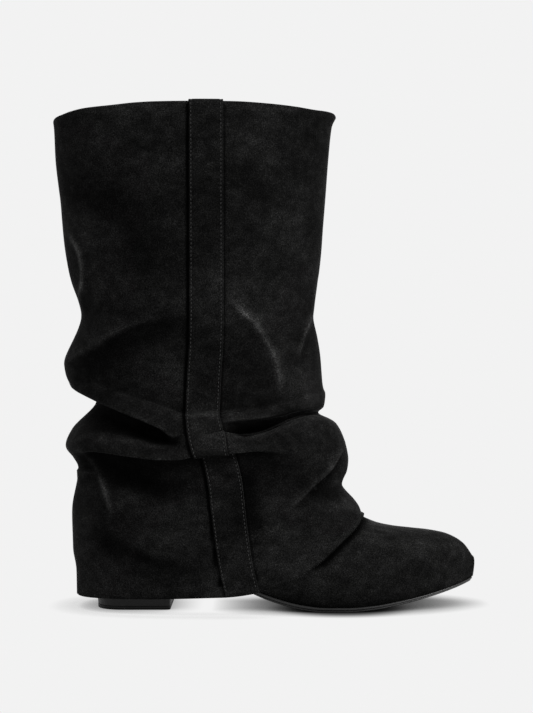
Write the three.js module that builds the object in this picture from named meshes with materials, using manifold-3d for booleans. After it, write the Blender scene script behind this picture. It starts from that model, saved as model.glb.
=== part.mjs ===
// A right slouch boot with a block heel and a long folded-over cuff that hangs in rolls almost to the floor.
// Millimetres, +Z up, toe towards +X, lateral side towards -Y. The origin is on the floor under the middle.
// The foot and inner leg are one hollow upper on a last. The cuff is a second tube that starts inside the
// collar, turns over the top edge and hangs outside. A strap-like band runs down its lateral side.
import * as THREE from "three";
import { mergeVertices } from "three/addons/utils/BufferGeometryUtils.js";
import Module from "manifold-3d";

const wasm = await Module();
wasm.setup();

// Driving dimensions.
const footLength = 243; // heel counter to toe tip, along the floor
const ballWidth = 86;
const instepHeight = 84; // floor to the throat of the instep
const heelHeight = 46; // floor to the underside of the sole at the back of the seat
const ankleHeight = 128;
const ankleWidth = 74;
const bootHeight = 303; // floor to the collar
const collarLength = 173;
const collarWidth = 116;
const collarOverhang = 17.5; // how far the collar reaches behind the heel counter
const upperWall = 1.6;
const cuffWall = 1.4;
const facingDepth = 26; // how far the cuff turns down inside the collar
const gap = 0.3; // between pieces that touch
const soleThickness = 3;
const toeThinning = 0.33; // the share of its thickness the sole loses towards the toe
const thinningStart = 0.6; // the share of the foot's length where it starts to thin
const soleMargin = 1.3; // how far the sole stands out past the upper
const soleStep = 0.9; // how far the lower half of its edge is set back
const insoleThickness = 2.2;
const heelLength = 45.5; // of the heel's foot on the floor
const heelWidth = 49;
const heelSetback = 10.5; // heel counter to the back of the heel's foot
const heelBreast = 58; // heel counter to the top of the heel's breast
const heelTipThickness = 2;
const heelFlare = 2.2; // how much wider each side is at the seat
const heelCorner = 2.5; // of the breast's edges
const bandWidth = 20.5;
const bandThickness = 1.1;
const foldDepth = 10; // how far a full roll stands out or a full pocket goes in

const wide = 0.66 * bootHeight; // further out than any piece reaches

// How finely the forms are faceted.
const ringTurns = 40;
const outlinePoints = 68;
const curveSteps = 34;
const heelSteps = 26;
const bandSteps = 39;
const footprintTurns = 96;
const footprintSteps = 260;
const drapeSteps = 90;

// The underside of the sole along the boot, as shares of footLength and heelHeight.
const soleCurve = [
  { at: -0.02, height: 1.02 },
  { at: 0.1, height: 0.925 },
  { at: 0.21, height: 0.78 },
  { at: 0.31, height: 0.55 },
  { at: 0.4, height: 0.31 },
  { at: 0.485, height: 0.125 },
  { at: 0.56, height: 0.028 },
  { at: 0.61, height: 0 },
  { at: 0.67, height: 0 },
  { at: 0.73, height: 0.022 },
  { at: 0.8, height: 0.08 },
  { at: 0.88, height: 0.17 },
  { at: 0.95, height: 0.265 },
  { at: 1.01, height: 0.36 },
];

// Sections of the leg, from the ankle at 0 up to the facing's lower edge at 1. open runs from the ankle's
// shape, 0, to the collar's, 1.
const legSections = [
  { name: "under the facing", up: 1, open: 1 },
  { name: "calf", up: 0.69, open: 0.66 },
  { name: "lower calf", up: 0.4, open: 0.3 },
  { name: "above the ankle", up: 0.15, open: 0.07 },
];

// Sections of the foot, from the ankle to the toe tip. back is where the section meets the heel curve or the
// sole, front and top where it meets the instep. back and front are shares of footLength, rise and top of
// instepHeight, lateral and medial of ballWidth. A section with no rise follows the sole.
const footSections = [
  { name: "ankle", back: 0.052, rise: 1.4, front: 0.447, top: 1.62, lateral: 0.44, medial: 0.42 },
  { name: "counter top", back: 0.016, rise: 1.1, front: 0.467, top: 1.35, lateral: 0.405, medial: 0.39 },
  { name: "counter", back: 0.003, rise: 0.84, front: 0.498, top: 1.14, lateral: 0.385, medial: 0.375 },
  { name: "seat back", back: 0.01, rise: 0.64, front: 0.535, top: 1, lateral: 0.37, medial: 0.365 },
  { name: "seat edge", back: 0.03, front: 0.56, top: 0.93, lateral: 0.365, medial: 0.36 },
  { name: "seat", back: 0.1, front: 0.6, top: 0.845, lateral: 0.36, medial: 0.35 },
  { name: "shank", back: 0.24, front: 0.645, top: 0.76, lateral: 0.375, medial: 0.345 },
  { name: "waist", back: 0.38, front: 0.695, top: 0.68, lateral: 0.41, medial: 0.365 },
  { name: "joint", back: 0.52, front: 0.745, top: 0.612, lateral: 0.475, medial: 0.445 },
  { name: "ball", back: 0.625, front: 0.79, top: 0.58, lateral: 0.49, medial: 0.505 },
  { name: "toes", back: 0.72, front: 0.84, top: 0.562, lateral: 0.45, medial: 0.52 },
  { name: "toe box", back: 0.81, front: 0.89, top: 0.546, lateral: 0.37, medial: 0.49 },
  { name: "cap", back: 0.885, front: 0.935, top: 0.517, lateral: 0.27, medial: 0.42 },
  { name: "cap edge", back: 0.945, front: 0.972, top: 0.455, lateral: 0.15, medial: 0.32 },
  { name: "tip", back: 0.985, front: 0.996, top: 0.36, lateral: 0.03, medial: 0.2 },
];
const tuck = 2 * soleThickness; // how far the lasted form runs on below the top of the sole
const legDip = { back: -0.05, front: 0.09 }; // the tilt of the ankle's section, as shares of instepHeight
const ovalRise = 1.4; // the rise above which a section has the leg's roundness
const roundness = { leg: 2.15, instep: 2.3, underfoot: 3.8, hem: 2.5 };
const squaring = { from: 0.3, to: 0.02 }; // the heights between which the cuff takes the hem's roundness

// The cuff without its folds. height is a share of bootHeight, back and front are shares of collarLength,
// measured from the collar's back, and side is a share of collarWidth.
const cuffRings = [
  { name: "collar", height: 1, back: 0, front: 1, side: 0.49 },
  { name: "facing", height: 0.91, back: 0.008, front: 0.984, side: 0.488 },
  { name: "upper calf", height: 0.825, back: 0.025, front: 0.973, side: 0.483 },
  { name: "calf", height: 0.74, back: 0.039, front: 0.96, side: 0.473 },
  { name: "lower calf", height: 0.66, back: 0.062, front: 0.945, side: 0.457 },
  { name: "over the slouch", height: 0.58, back: 0.092, front: 0.936, side: 0.448 },
  { name: "slouch", height: 0.46, back: 0.096, front: 0.94, side: 0.45 },
  { name: "ankle", height: 0.33, back: 0.095, front: 0.983, side: 0.457 },
  { name: "instep", height: 0.25, back: 0.083, front: 1.026, side: 0.45 },
  { name: "over the vamp", height: 0.19, back: 0.073, front: 1.1, side: 0.442 },
  { name: "heel", height: 0.12, back: 0.071, front: 1.115, side: 0.435 },
  { name: "heel's foot", height: 0.075, back: 0.083, front: 1.115, side: 0.433 },
  { name: "hem", height: 0.02, back: 0.086, front: 1.115, side: 0.43 },
];

// The lines the folded cuff is drawn through, from the top down, each by rows of turn, height and out.
// turn is in degrees, 0 in front, 90 lateral, 180 at the back, -90 medial. height is a share of bootHeight.
// out is how far the line stands out from the plain cuff, as a share of foldDepth.
const cuffLines = [
  { name: "calf", rows: [[0, 0.775, 0]] },
  {
    name: "lower calf",
    rows: [[180, 0.677, 0], [150, 0.685, -0.05], [120, 0.68, -0.12], [100, 0.68, -0.05], [90, 0.68, 0],
      [30, 0.68, -0.05], [0, 0.68, 0.05], [-90, 0.675, 0.05]],
  },
  {
    name: "over the swag",
    rows: [[180, 0.584, -0.15], [150, 0.6, -0.05], [120, 0.628, 0.05], [100, 0.64, 0.05], [90, 0.64, 0],
      [60, 0.627, 0], [30, 0.604, -0.1], [0, 0.594, -0.13], [-45, 0.61, -0.05], [-90, 0.645, 0],
      [-130, 0.615, -0.05]],
  },
  {
    name: "swag's crest",
    rows: [[180, 0.498, 0.97], [165, 0.503, 0.88], [150, 0.514, 0.72], [140, 0.526, 0.62],
      [128, 0.548, 0.5], [116, 0.567, 0.36], [108, 0.58, 0.26], [100, 0.583, 0.18], [90, 0.575, 0.1],
      [75, 0.57, 0.02], [60, 0.565, 0], [30, 0.555, 0.1], [0, 0.545, 0.15], [-30, 0.55, 0.1],
      [-60, 0.57, 0.05], [-90, 0.59, 0.1], [-115, 0.56, 0.3], [-140, 0.525, 0.6], [-162, 0.503, 0.85]],
  },
  {
    name: "under the swag",
    rows: [[180, 0.482, 0.97], [165, 0.482, 0.68], [150, 0.481, 0.36], [140, 0.487, 0.15],
      [128, 0.503, 0], [116, 0.519, -0.12], [106, 0.532, -0.15], [95, 0.537, -0.12], [85, 0.53, -0.1],
      [60, 0.525, 0], [30, 0.515, 0.15], [0, 0.51, 0.3], [-30, 0.512, 0.2], [-60, 0.53, 0],
      [-90, 0.55, 0], [-115, 0.535, 0.1], [-140, 0.5, 0.3], [-162, 0.482, 0.65]],
  },
  {
    name: "over the upper lip",
    rows: [[180, 0.466, 0.86], [165, 0.464, 0.65], [150, 0.459, 0.42], [135, 0.449, 0.25],
      [120, 0.434, 0.12], [105, 0.415, 0.02], [95, 0.4, 0.04], [90, 0.398, 0.05], [75, 0.401, 0],
      [60, 0.407, 0.1], [45, 0.42, 0.25], [30, 0.432, 0.35], [0, 0.442, 0.42], [-30, 0.44, 0.3],
      [-60, 0.42, 0.1], [-90, 0.41, 0], [-120, 0.43, 0.1], [-150, 0.458, 0.45]],
  },
  {
    name: "upper lip",
    rows: [[180, 0.452, 0.5], [165, 0.446, 0.6], [150, 0.432, 0.6], [140, 0.421, 0.6], [121, 0.398, 0.58],
      [106, 0.371, 0.56], [98, 0.358, 0.52], [90, 0.366, 0.55], [83, 0.376, 0.5], [75, 0.383, 0.47],
      [60, 0.384, 0.55], [45, 0.393, 0.5], [30, 0.4, 0.38], [0, 0.402, 0.3], [-30, 0.396, 0.5],
      [-60, 0.385, 0.55], [-90, 0.378, 0.6], [-120, 0.4, 0.6], [-150, 0.43, 0.6]],
  },
  {
    name: "upper pocket",
    rows: [[180, 0.418, -1], [165, 0.412, -1], [150, 0.403, -0.9], [140, 0.392, -0.85],
      [121, 0.37, -0.7], [106, 0.346, -0.45], [98, 0.346, 0.2], [90, 0.352, 0.65], [83, 0.361, 0.2],
      [75, 0.367, -0.4], [66, 0.367, -0.85], [52, 0.373, -0.9], [40, 0.386, -0.7], [30, 0.392, -0.4],
      [15, 0.393, -0.2], [0, 0.39, -0.15], [-30, 0.384, -0.5], [-60, 0.372, -0.8], [-90, 0.362, -0.7],
      [-120, 0.376, -0.8], [-150, 0.402, -0.9]],
  },
  {
    name: "lower roll's top",
    rows: [[180, 0.36, 0.48], [150, 0.348, 0.5], [140, 0.344, 0.48], [121, 0.341, 0.42],
      [106, 0.328, 0.38], [98, 0.331, 0.5], [90, 0.338, 0.7], [83, 0.349, 0.55], [75, 0.35, 0.35],
      [60, 0.356, 0.4], [45, 0.369, 0.45], [30, 0.379, 0.45], [15, 0.378, 0.6], [0, 0.37, 0.8],
      [-15, 0.366, 0.8], [-45, 0.355, 0.5], [-90, 0.34, 0.5], [-130, 0.35, 0.45]],
  },
  {
    name: "lower lip",
    rows: [[180, 0.325, 0.87], [165, 0.319, 0.8], [150, 0.314, 0.76], [120, 0.309, 0.76],
      [105, 0.306, 0.72], [90, 0.309, 0.66], [75, 0.316, 0.7], [60, 0.319, 0.7], [45, 0.317, 0.77],
      [30, 0.309, 0.9], [15, 0.304, 1.1], [0, 0.305, 1.05], [-15, 0.298, 1.1], [-45, 0.305, 0.8],
      [-90, 0.308, 0.7], [-130, 0.31, 0.75]],
  },
  {
    name: "under the lower lip",
    rows: [[180, 0.3, 0.35], [165, 0.295, 0.2], [150, 0.292, 0.15], [120, 0.29, 0.1], [90, 0.297, 0.15],
      [75, 0.3, 0.2], [60, 0.3, 0.35], [45, 0.297, 0.6], [30, 0.287, 0.8], [15, 0.278, 0.9],
      [0, 0.277, 0.64], [-20, 0.272, 0.6], [-50, 0.285, 0.35], [-90, 0.29, 0.15], [-130, 0.292, 0.15]],
  },
  {
    name: "hollow",
    rows: [[180, 0.28, 0], [150, 0.27, -0.25], [120, 0.262, -0.4], [105, 0.256, -0.4], [90, 0.264, -0.34],
      [75, 0.27, -0.27], [60, 0.263, -0.15], [45, 0.244, 0], [30, 0.232, 0.1], [15, 0.238, 0],
      [0, 0.249, 0], [-20, 0.245, 0], [-50, 0.25, -0.1], [-90, 0.265, -0.3], [-130, 0.265, -0.3]],
  },
  {
    name: "over the heel",
    rows: [[180, 0.205, 0.1], [120, 0.198, 0.1], [90, 0.2, 0.1], [60, 0.2, 0.05], [45, 0.2, 0.15],
      [30, 0.205, 0.2], [15, 0.212, 0.1], [0, 0.218, 0.05], [-20, 0.21, 0.1], [-60, 0.2, 0.1]],
  },
  {
    name: "over the hem",
    rows: [[180, 0.12, 0], [150, 0.115, -0.1], [120, 0.105, -0.15], [90, 0.1, 0], [75, 0.11, 0],
      [60, 0.135, 0], [45, 0.155, 0], [30, 0.172, 0], [15, 0.184, 0], [0, 0.19, 0], [-30, 0.172, 0],
      [-60, 0.135, 0], [-90, 0.1, 0], [-120, 0.105, -0.1]],
  },
  {
    name: "hem",
    rows: [[180, 0.027, 0], [120, 0.032, 0], [90, 0.037, 0], [82, 0.043, 0], [75, 0.054, 0],
      [65, 0.07, 0], [52, 0.1, 0], [38, 0.13, 0], [27, 0.148, 0], [12, 0.174, 0], [0, 0.178, 0],
      [-12, 0.174, 0], [-27, 0.148, 0], [-38, 0.13, 0], [-52, 0.1, 0], [-65, 0.07, 0], [-82, 0.043, 0],
      [-90, 0.037, 0], [-120, 0.032, 0]],
  },
];

// Folds that run across those lines, each by rows of turn, height and strength as above. above and below are
// its half-widths in shares of foldDepth, on the two sides of a route walked from the back to the front.
const folds = [
  {
    name: "front swag", out: 0.4, above: 1.3, below: 0.9,
    route: [[80, 0.64, 0], [73, 0.61, 0.6], [63, 0.565, 1], [55, 0.51, 1], [50, 0.45, 0.7],
      [49, 0.42, 0]],
  },
  {
    name: "crease behind the shin", out: -0.2, above: 0.7, below: 0.9,
    route: [[26, 0.62, 0], [29, 0.58, 1], [31, 0.54, 1], [33, 0.5, 0]],
  },
  {
    name: "instep fold", out: 0.25, above: 1.1, below: 0.6,
    route: [[48, 0.19, 0], [42, 0.21, 0.7], [33, 0.235, 1], [20, 0.262, 0.8], [8, 0.28, 0]],
  },
  {
    name: "heel ridge", out: 0.25, above: 0.7, below: 0.9,
    route: [[185, 0.3, 0], [168, 0.285, 0.8], [150, 0.262, 1], [140, 0.235, 0.6], [134, 0.205, 0]],
  },
  {
    name: "trough beside the band", out: -0.3, above: 1.1, below: 1.1,
    route: [[73, 0.28, 0], [69, 0.25, 1], [65, 0.2, 0.9], [63, 0.15, 0]],
  },
];

// The middle line of the band. height is a share of bootHeight, and at is a share of collarLength from the
// collar's back. It slips towards the toe under the lower roll.
const bandLine = [
  { height: 1.03, at: 0.553 },
  { height: 0.64, at: 0.556 },
  { height: 0.5, at: 0.552 },
  { height: 0.43, at: 0.547 },
  { height: 0.4, at: 0.541 },
  { height: 0.37, at: 0.549 },
  { height: 0.33, at: 0.563 },
  { height: 0.308, at: 0.577 },
  { height: 0.285, at: 0.603 },
  { height: 0.237, at: 0.624 },
  { height: 0.157, at: 0.637 },
  { height: 0.105, at: 0.651 },
  { height: 0.052, at: 0.673 },
  { height: 0.02, at: 0.69 },
];

// Colours of the materials.
const suede = { color: 0x1a191a, roughness: 0.97, metalness: 0 };
const soleRubber = { color: 0x262626, roughness: 0.5, metalness: 0 };
const heelCover = { color: 0x1c1c1c, roughness: 0.42, metalness: 0 };
const lining = { color: 0x2a2826, roughness: 0.8, metalness: 0 };

const lerp = (a, b, t) => a + (b - a) * t;
const clamp = (x, low, high) => Math.min(high, Math.max(low, x));
const ease = (t) => t * t * (3 - 2 * t);

// A smooth curve through rows sorted by a key column: the value of another column at x, as a monotone cubic.
function along(rows, key, column, x) {
  const n = rows.length;
  const slope = (i) => (rows[i + 1][column] - rows[i][column]) / (rows[i + 1][key] - rows[i][key]);
  const tangent = (i) => {
    if (i === 0) return slope(0);
    if (i === n - 1) return slope(n - 2);
    const before = slope(i - 1);
    const after = slope(i);
    return before * after <= 0 ? 0 : (2 * before * after) / (before + after);
  };
  const from = rows[0][key];
  const to = rows[n - 1][key];
  const up = to > from;
  const at = up ? clamp(x, from, to) : clamp(x, to, from);
  let i = 0;
  while (i < n - 2 && (up ? rows[i + 1][key] < at : rows[i + 1][key] > at)) i++;
  const step = rows[i + 1][key] - rows[i][key];
  const t = (at - rows[i][key]) / step;
  const [a, b] = [rows[i][column], rows[i + 1][column]];
  return (
    a * (1 + 2 * t) * (1 - t) ** 2 +
    tangent(i) * step * t * (1 - t) ** 2 +
    b * t * t * (3 - 2 * t) +
    tangent(i + 1) * step * t * t * (t - 1)
  );
}

const soleUnderside = (x) => heelHeight * along(soleCurve, "at", "height", x / footLength);
function soleDepth(x) {
  const towardsToe = clamp((x / footLength - thinningStart) / (1 - thinningStart), 0, 1);
  return soleThickness * (1 - toeThinning * ease(towardsToe));
}
const soleTop = (x) => soleUnderside(x) + soleDepth(x);

// One point of a rounded oval at a turn and its outward direction, by half-length, half-width and roundness.
function oval(turn, half, side, round) {
  const [c, s] = [Math.cos(turn), Math.sin(turn)];
  const power = 2 / round;
  const [nc, ns] = [side * Math.abs(c) ** (2 - power), half * Math.abs(s) ** (2 - power)];
  const length = Math.hypot(nc, ns);
  return {
    along: Math.sign(c) * Math.abs(c) ** power * half,
    across: -Math.sign(s) * Math.abs(s) ** power * side,
    outAlong: (Math.sign(c) * nc) / length,
    outAcross: (-Math.sign(s) * ns) / length,
  };
}

// The cuff's plain tube at a turn and a height, moved out by a distance.
function plainCuff(turn, z, out) {
  const share = (column) => along(cuffRings, "height", column, z / bootHeight);
  const back = collarLength * share("back") - collarOverhang;
  const front = collarLength * share("front") - collarOverhang;
  const low = ease(clamp((squaring.from - z / bootHeight) / (squaring.from - squaring.to), 0, 1));
  const round = lerp(roundness.leg, roundness.hem, low);
  const o = oval(turn, (front - back) / 2, collarWidth * share("side"), round);
  return new THREE.Vector3((front + back) / 2 + o.along + out * o.outAlong, o.across + out * o.outAcross, z);
}

const collarRoll = 2 * cuffWall + 2 * gap + upperWall; // the thickness of the turned edge
const rollCentre = bootHeight - collarRoll / 2;

// The folds' routes in millimetres: round the cuff, up it, and strength.
const meanRadius = (collarLength + collarWidth) / 4;
const fullTurn = 2 * Math.PI * meanRadius;
const foldRoutes = folds.map((fold) => {
  const points = fold.route.map(([turn, height, strength]) => {
    const round = THREE.MathUtils.degToRad(turn) * meanRadius;
    return new THREE.Vector3(round, height * bootHeight, strength * foldDepth);
  });
  const curve = new THREE.CatmullRomCurve3(points, false, "centripetal");
  return { ...fold, samples: curve.getPoints(6 * (points.length - 1)) };
});

// How far a fold moves the point at a turn and height: its strength, fading with the distance to its route.
function foldAt(fold, turn, z) {
  const middle = (fold.samples[0].x + fold.samples.at(-1).x) / 2;
  const round = turn * meanRadius - fullTurn * Math.round((turn * meanRadius - middle) / fullTurn);
  let nearest = { distance: Infinity };
  for (let i = 0; i + 1 < fold.samples.length; i++) {
    const [a, b] = [fold.samples[i], fold.samples[i + 1]];
    const [dx, dz] = [b.x - a.x, b.y - a.y];
    const t = clamp(((round - a.x) * dx + (z - a.y) * dz) / (dx * dx + dz * dz), 0, 1);
    const [ex, ez] = [round - a.x - t * dx, z - a.y - t * dz];
    const distance = Math.hypot(ex, ez);
    if (distance < nearest.distance) {
      nearest = { distance, side: dx * ez - dz * ex, strength: lerp(a.z, b.z, t) };
    }
  }
  const width = foldDepth * (nearest.side < 0 ? fold.above : fold.below);
  return fold.out * nearest.strength * Math.exp(-((nearest.distance / width) ** 2));
}

// A line's height or out at a turn, smooth all the way round.
function lineAt(line, column, turn) {
  if (line.rows.length === 1) return line.rows[0][column];
  const up = line.rows.toReversed();
  const shifted = (by) => up.map(([at, ...rest]) => [at + by, ...rest]);
  const loop = [...shifted(-360), ...up, ...shifted(360)];
  return along(loop, 0, column, THREE.MathUtils.radToDeg(turn));
}

// The cuff's profile at a turn: its lines' points, out and up, from the collar to the hem.
function cuffProfile(turn) {
  const straight = 1.15 * facingDepth;
  const plain = [0, 0.5, 1].map((share) => new THREE.Vector3(0, rollCentre - share * straight, 0));
  const lines = cuffLines.map(
    (line) => new THREE.Vector3(lineAt(line, 2, turn) * foldDepth, lineAt(line, 1, turn) * bootHeight, 0),
  );
  return new THREE.CatmullRomCurve3([...plain, ...lines], false, "centripetal");
}
const profileSpans = cuffLines.length + 2;
const fadeSpans = 1.5; // of the folds, below the calf's start and above the hem

// A point of the folded cuff's outer face, at a turn and so many lines down its profile.
function foldedCuff(turn, profile, lines) {
  const p = profile.getPoint(lines / profileSpans);
  const fadeAt = (spans) => ease(clamp(spans / fadeSpans, 0, 1));
  const fade = fadeAt(lines - 2) * fadeAt(profileSpans - lines);
  const across = foldRoutes.reduce((sum, fold) => sum + foldAt(fold, turn, p.y), 0);
  return plainCuff(turn, p.y, p.x + fade * across);
}

// Inner leg sections: from the ankle's shape to the cuff's own, less the cuff's wall.
const legTop = rollCentre - facingDepth - 2;
function legSection({ up, open }) {
  const z = lerp(ankleHeight, legTop, up);
  const inset = -(cuffWall + gap);
  const dip = instepHeight * (1 - open) ** 2;
  const side = lerp(ankleWidth / 2, Math.abs(plainCuff(Math.PI / 2, z, inset).y), open);
  const ankle = footSections[0];
  return {
    back: [lerp(footLength * ankle.back, plainCuff(Math.PI, z, inset).x, open), z + legDip.back * dip],
    front: [lerp(footLength * ankle.front, plainCuff(0, z, inset).x, open), z + legDip.front * dip],
    sides: [side, side],
    round: [roundness.leg, roundness.leg],
  };
}

function footSection(row) {
  const x = footLength * row.back;
  const low = clamp(ovalRise - (row.rise ?? 0), 0, 1);
  return {
    back: [x, row.rise ? instepHeight * row.rise : soleTop(x) - tuck],
    front: [footLength * row.front, instepHeight * row.top],
    sides: [ballWidth * row.lateral, ballWidth * row.medial],
    round: [lerp(roundness.leg, roundness.instep, low), lerp(roundness.leg, roundness.underfoot, low)],
  };
}

const upperSections = [...legSections.map(legSection), ...footSections.map(footSection)];

// The upper's ring at a place s along its sections, 0 under the facing and 1 at the toe tip.
function sectionCurve(column) {
  return new THREE.SplineCurve(upperSections.map((row) => new THREE.Vector2(...row[column])));
}
const columns = ["back", "front", "sides", "round"];
const [backCurve, frontCurve, sidesCurve, roundCurve] = columns.map(sectionCurve);
function upperRing(s, turns) {
  const back = backCurve.getPoint(s);
  const front = frontCurve.getPoint(s);
  const [lateral, medial] = sidesCurve.getPoint(s).toArray();
  const [over, under] = roundCurve.getPoint(s).toArray();
  const middle = back.clone().add(front).multiplyScalar(0.5);
  const reach = front.clone().sub(back).multiplyScalar(0.5);
  return Array.from({ length: turns }, (_, i) => {
    const turn = (2 * Math.PI * i) / turns;
    const o = oval(turn, 1, Math.sin(turn) > 0 ? lateral : medial, Math.cos(turn) > 0 ? over : under);
    return new THREE.Vector3(middle.x + reach.x * o.along, o.across, middle.y + reach.y * o.along);
  });
}

// A solid from closed rings of points, one after another, with each end closed by a fan.
function loft(rings) {
  const turns = rings[0].length;
  const points = rings.flat();
  const triangles = [];
  for (let r = 0; r + 1 < rings.length; r++)
    for (let i = 0; i < turns; i++) {
      const j = (i + 1) % turns;
      const [a, b, c, d] = [r * turns + i, r * turns + j, (r + 1) * turns + i, (r + 1) * turns + j];
      triangles.push(a, c, b, b, c, d);
    }
  for (const [r, turned] of [[0, false], [rings.length - 1, true]]) {
    const middle = rings[r].reduce((sum, p) => sum.add(p), new THREE.Vector3()).divideScalar(turns);
    const hub = points.push(middle) - 1;
    for (let i = 0; i < turns; i++) {
      const edge = [r * turns + i, r * turns + ((i + 1) % turns)];
      triangles.push(hub, ...(turned ? edge.reverse() : edge));
    }
  }
  return solidOf(points, triangles);
}

// A solid from rings that also close on one another, like a sleeve with a wall.
function sleeve(rings) {
  const turns = rings[0].length;
  const triangles = [];
  for (let r = 0; r < rings.length; r++)
    for (let i = 0; i < turns; i++) {
      const j = (i + 1) % turns;
      const next = ((r + 1) % rings.length) * turns;
      const [a, b, c, d] = [r * turns + i, r * turns + j, next + i, next + j];
      triangles.push(a, c, b, b, c, d);
    }
  return solidOf(rings.flat(), triangles);
}

// A solid from points and triangles, turned to face out.
function solidOf(points, triangles) {
  const positions = Float32Array.from(points.flatMap((p) => [p.x, p.y, p.z]));
  const faces = Uint32Array.from(triangles);
  let volume = 0;
  for (let i = 0; i < faces.length; i += 3)
    volume += points[faces[i]].dot(points[faces[i + 1]].clone().cross(points[faces[i + 2]]));
  if (volume < 0) faces.reverse();
  return new wasm.Manifold(new wasm.Mesh({ numProp: 3, vertProperties: positions, triVerts: faces }));
}

// A flat outline pushed along the missing axis: one of x and z runs sideways, one of x and y runs up.
function extrudeOutline(outline, from, to, axis) {
  const shape = new THREE.Shape(outline.map(([a, b]) => new THREE.Vector2(a, b)));
  const geometry = new THREE.ExtrudeGeometry(shape, { depth: to - from, bevelEnabled: false });
  geometry.translate(0, 0, from);
  if (axis === "y") geometry.rotateX(Math.PI / 2);
  geometry.deleteAttribute("normal");
  geometry.deleteAttribute("uv");
  const merged = mergeVertices(geometry, 1e-4);
  const p = merged.getAttribute("position");
  const points = Array.from({ length: p.count }, (_, i) => new THREE.Vector3().fromBufferAttribute(p, i));
  return solidOf(points, Array.from(merged.index.array));
}

// The space under or over a curve along the boot, from side to side.
function besideCurve(curve, limit) {
  const places = Array.from({ length: curveSteps + 1 }, (_, i) => lerp(-0.15, 1.15, i / curveSteps));
  const xs = places.map((place) => place * footLength);
  const outline = [...xs.map((x) => [x, curve(x)]), [xs.at(-1), limit], [xs[0], limit]];
  return extrudeOutline(outline, -wide, wide, "y");
}

// Points of a ring moved inwards by the wall, along the form's own normals.
function insetRings(rings, wall) {
  const turns = rings[0].length;
  return rings.map((ring, r) =>
    ring.map((p, i) => {
      const round = ring[(i + 1) % turns].clone().sub(ring[(i + turns - 1) % turns]);
      const before = rings[Math.max(r - 1, 0)][i];
      const after = rings[Math.min(r + 1, rings.length - 1)][i];
      const normal = round.cross(after.clone().sub(before)).normalize();
      return p.clone().addScaledVector(normal, -wall);
    }),
  );
}

// The upper's rings, its outer and inner forms, and the shell between, open at the collar and underneath.
const turnsOf = (count) => Array.from({ length: count }, (_, i) => (2 * Math.PI * i) / count);
const ringTurn = turnsOf(ringTurns);
const collarRings = [-collarRoll, 0, facingDepth / 2].map((depth) =>
  ringTurn.map((turn) => plainCuff(turn, rollCentre - depth, -(cuffWall + gap))),
);
const lastSection = upperSections.length - 1;
const ballSection = legSections.length + footSections.findIndex((row) => row.name === "joint");
const ringPlaces = [];
for (let i = 0; i < lastSection; i++) ringPlaces.push(i, ...(i < ballSection ? [] : [i + 0.5]));
ringPlaces.push(lastSection);
const outerRings = [...collarRings, ...ringPlaces.map((place) => upperRing(place / lastSection, ringTurns))];
const outerForm = loft(outerRings);
const innerForm = loft(insetRings(outerRings, upperWall).slice(0, -1));
const underfoot = besideCurve((x) => soleTop(x) + gap, -wide);
const aboveCollar = extrudeOutline(
  [[-wide, rollCentre], [2 * wide, rollCentre], [2 * wide, 2 * bootHeight], [-wide, 2 * bootHeight]],
  -wide,
  wide,
  "y",
);
const upper = outerForm.subtract(innerForm).subtract(underfoot).subtract(aboveCollar);

// Where a form meets a height above the sole, as an outline seen from above, heel to toe and back.
function footprint(form, last, lift, grow) {
  const [lateral, medial] = [[], []];
  const turns = footprintTurns;
  for (let k = 0; k <= footprintSteps; k++) {
    const s = lerp(0.3, last, k / footprintSteps);
    const ring = form(s, turns);
    for (const [side, list] of [[1, lateral], [-1, medial]]) {
      const at = (i) => ring[(turns / 2 + side * i + turns) % turns];
      if (at(0).z > soleTop(at(0).x) + lift) continue;
      let i = 0;
      while (i < turns / 2 && at(i).z < soleTop(at(i).x) + lift) i++;
      if (i === turns / 2) continue;
      const [p, q] = [at(Math.max(i - 1, 0)), at(i)];
      const [dp, dq] = [p.z - soleTop(p.x) - lift, q.z - soleTop(q.x) - lift];
      const t = dp / (dp - dq);
      list.push([lerp(p.x, q.x, t), lerp(p.y, q.y, t)]);
    }
  }
  const loop = [...lateral, ...medial.reverse()];
  return growOutline(evenly(loop, outlinePoints), grow);
}

// A closed outline as points at even distances.
function evenly(loop, count) {
  const curve = new THREE.Path(loop.map(([x, y]) => new THREE.Vector2(x, y)));
  curve.closePath();
  return curve.getSpacedPoints(count).slice(0, count).map((p) => [p.x, p.y]);
}

function growOutline(outline, grow) {
  const n = outline.length;
  const area = outline.reduce((sum, [x, y], i) => {
    const [u, v] = outline[(i + 1) % n];
    return sum + x * v - u * y;
  }, 0);
  const sign = Math.sign(area);
  return outline.map(([x, y], i) => {
    const [a, b] = [outline[(i + n - 1) % n], outline[(i + 1) % n]];
    const [dx, dy] = [b[0] - a[0], b[1] - a[1]];
    const length = Math.hypot(dx, dy);
    return [x + (sign * grow * dy) / length, y - (sign * grow * dx) / length];
  });
}

// The outsole: the upper's footprint with a margin, between two curves, its edge in two steps.
const soleOutline = footprint(upperRing, 1, 0, soleMargin);
const between = (low, high) => besideCurve(high, -wide).subtract(besideCurve(low, -wide));
const soleSplit = (x) => soleUnderside(x) + 0.45 * soleDepth(x);
const upright = (outline) => extrudeOutline(outline, -wide, wide, "z");
const welt = upright(soleOutline).intersect(between(soleSplit, soleTop));
const tread = upright(growOutline(soleOutline, -soleStep)).intersect(between(soleUnderside, soleTop));
const outsole = welt.add(tread);

// The insole lies on the sole, inside the upper.
function insetRing(s, turns) {
  const step = 0.002;
  const rings = [s - step, s, s + step].map((place) => upperRing(clamp(place, 0, 1), turns));
  return insetRings(rings, upperWall)[1];
}
const insoleMargin = 1.1; // between the insole's edge and the upper
const insideToe = ringPlaces.at(-2) / lastSection;
const insole = upright(footprint(insetRing, insideToe, gap, -insoleMargin)).intersect(
  between((x) => soleTop(x) + gap, (x) => soleTop(x) + gap + insoleThickness),
);

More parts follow.
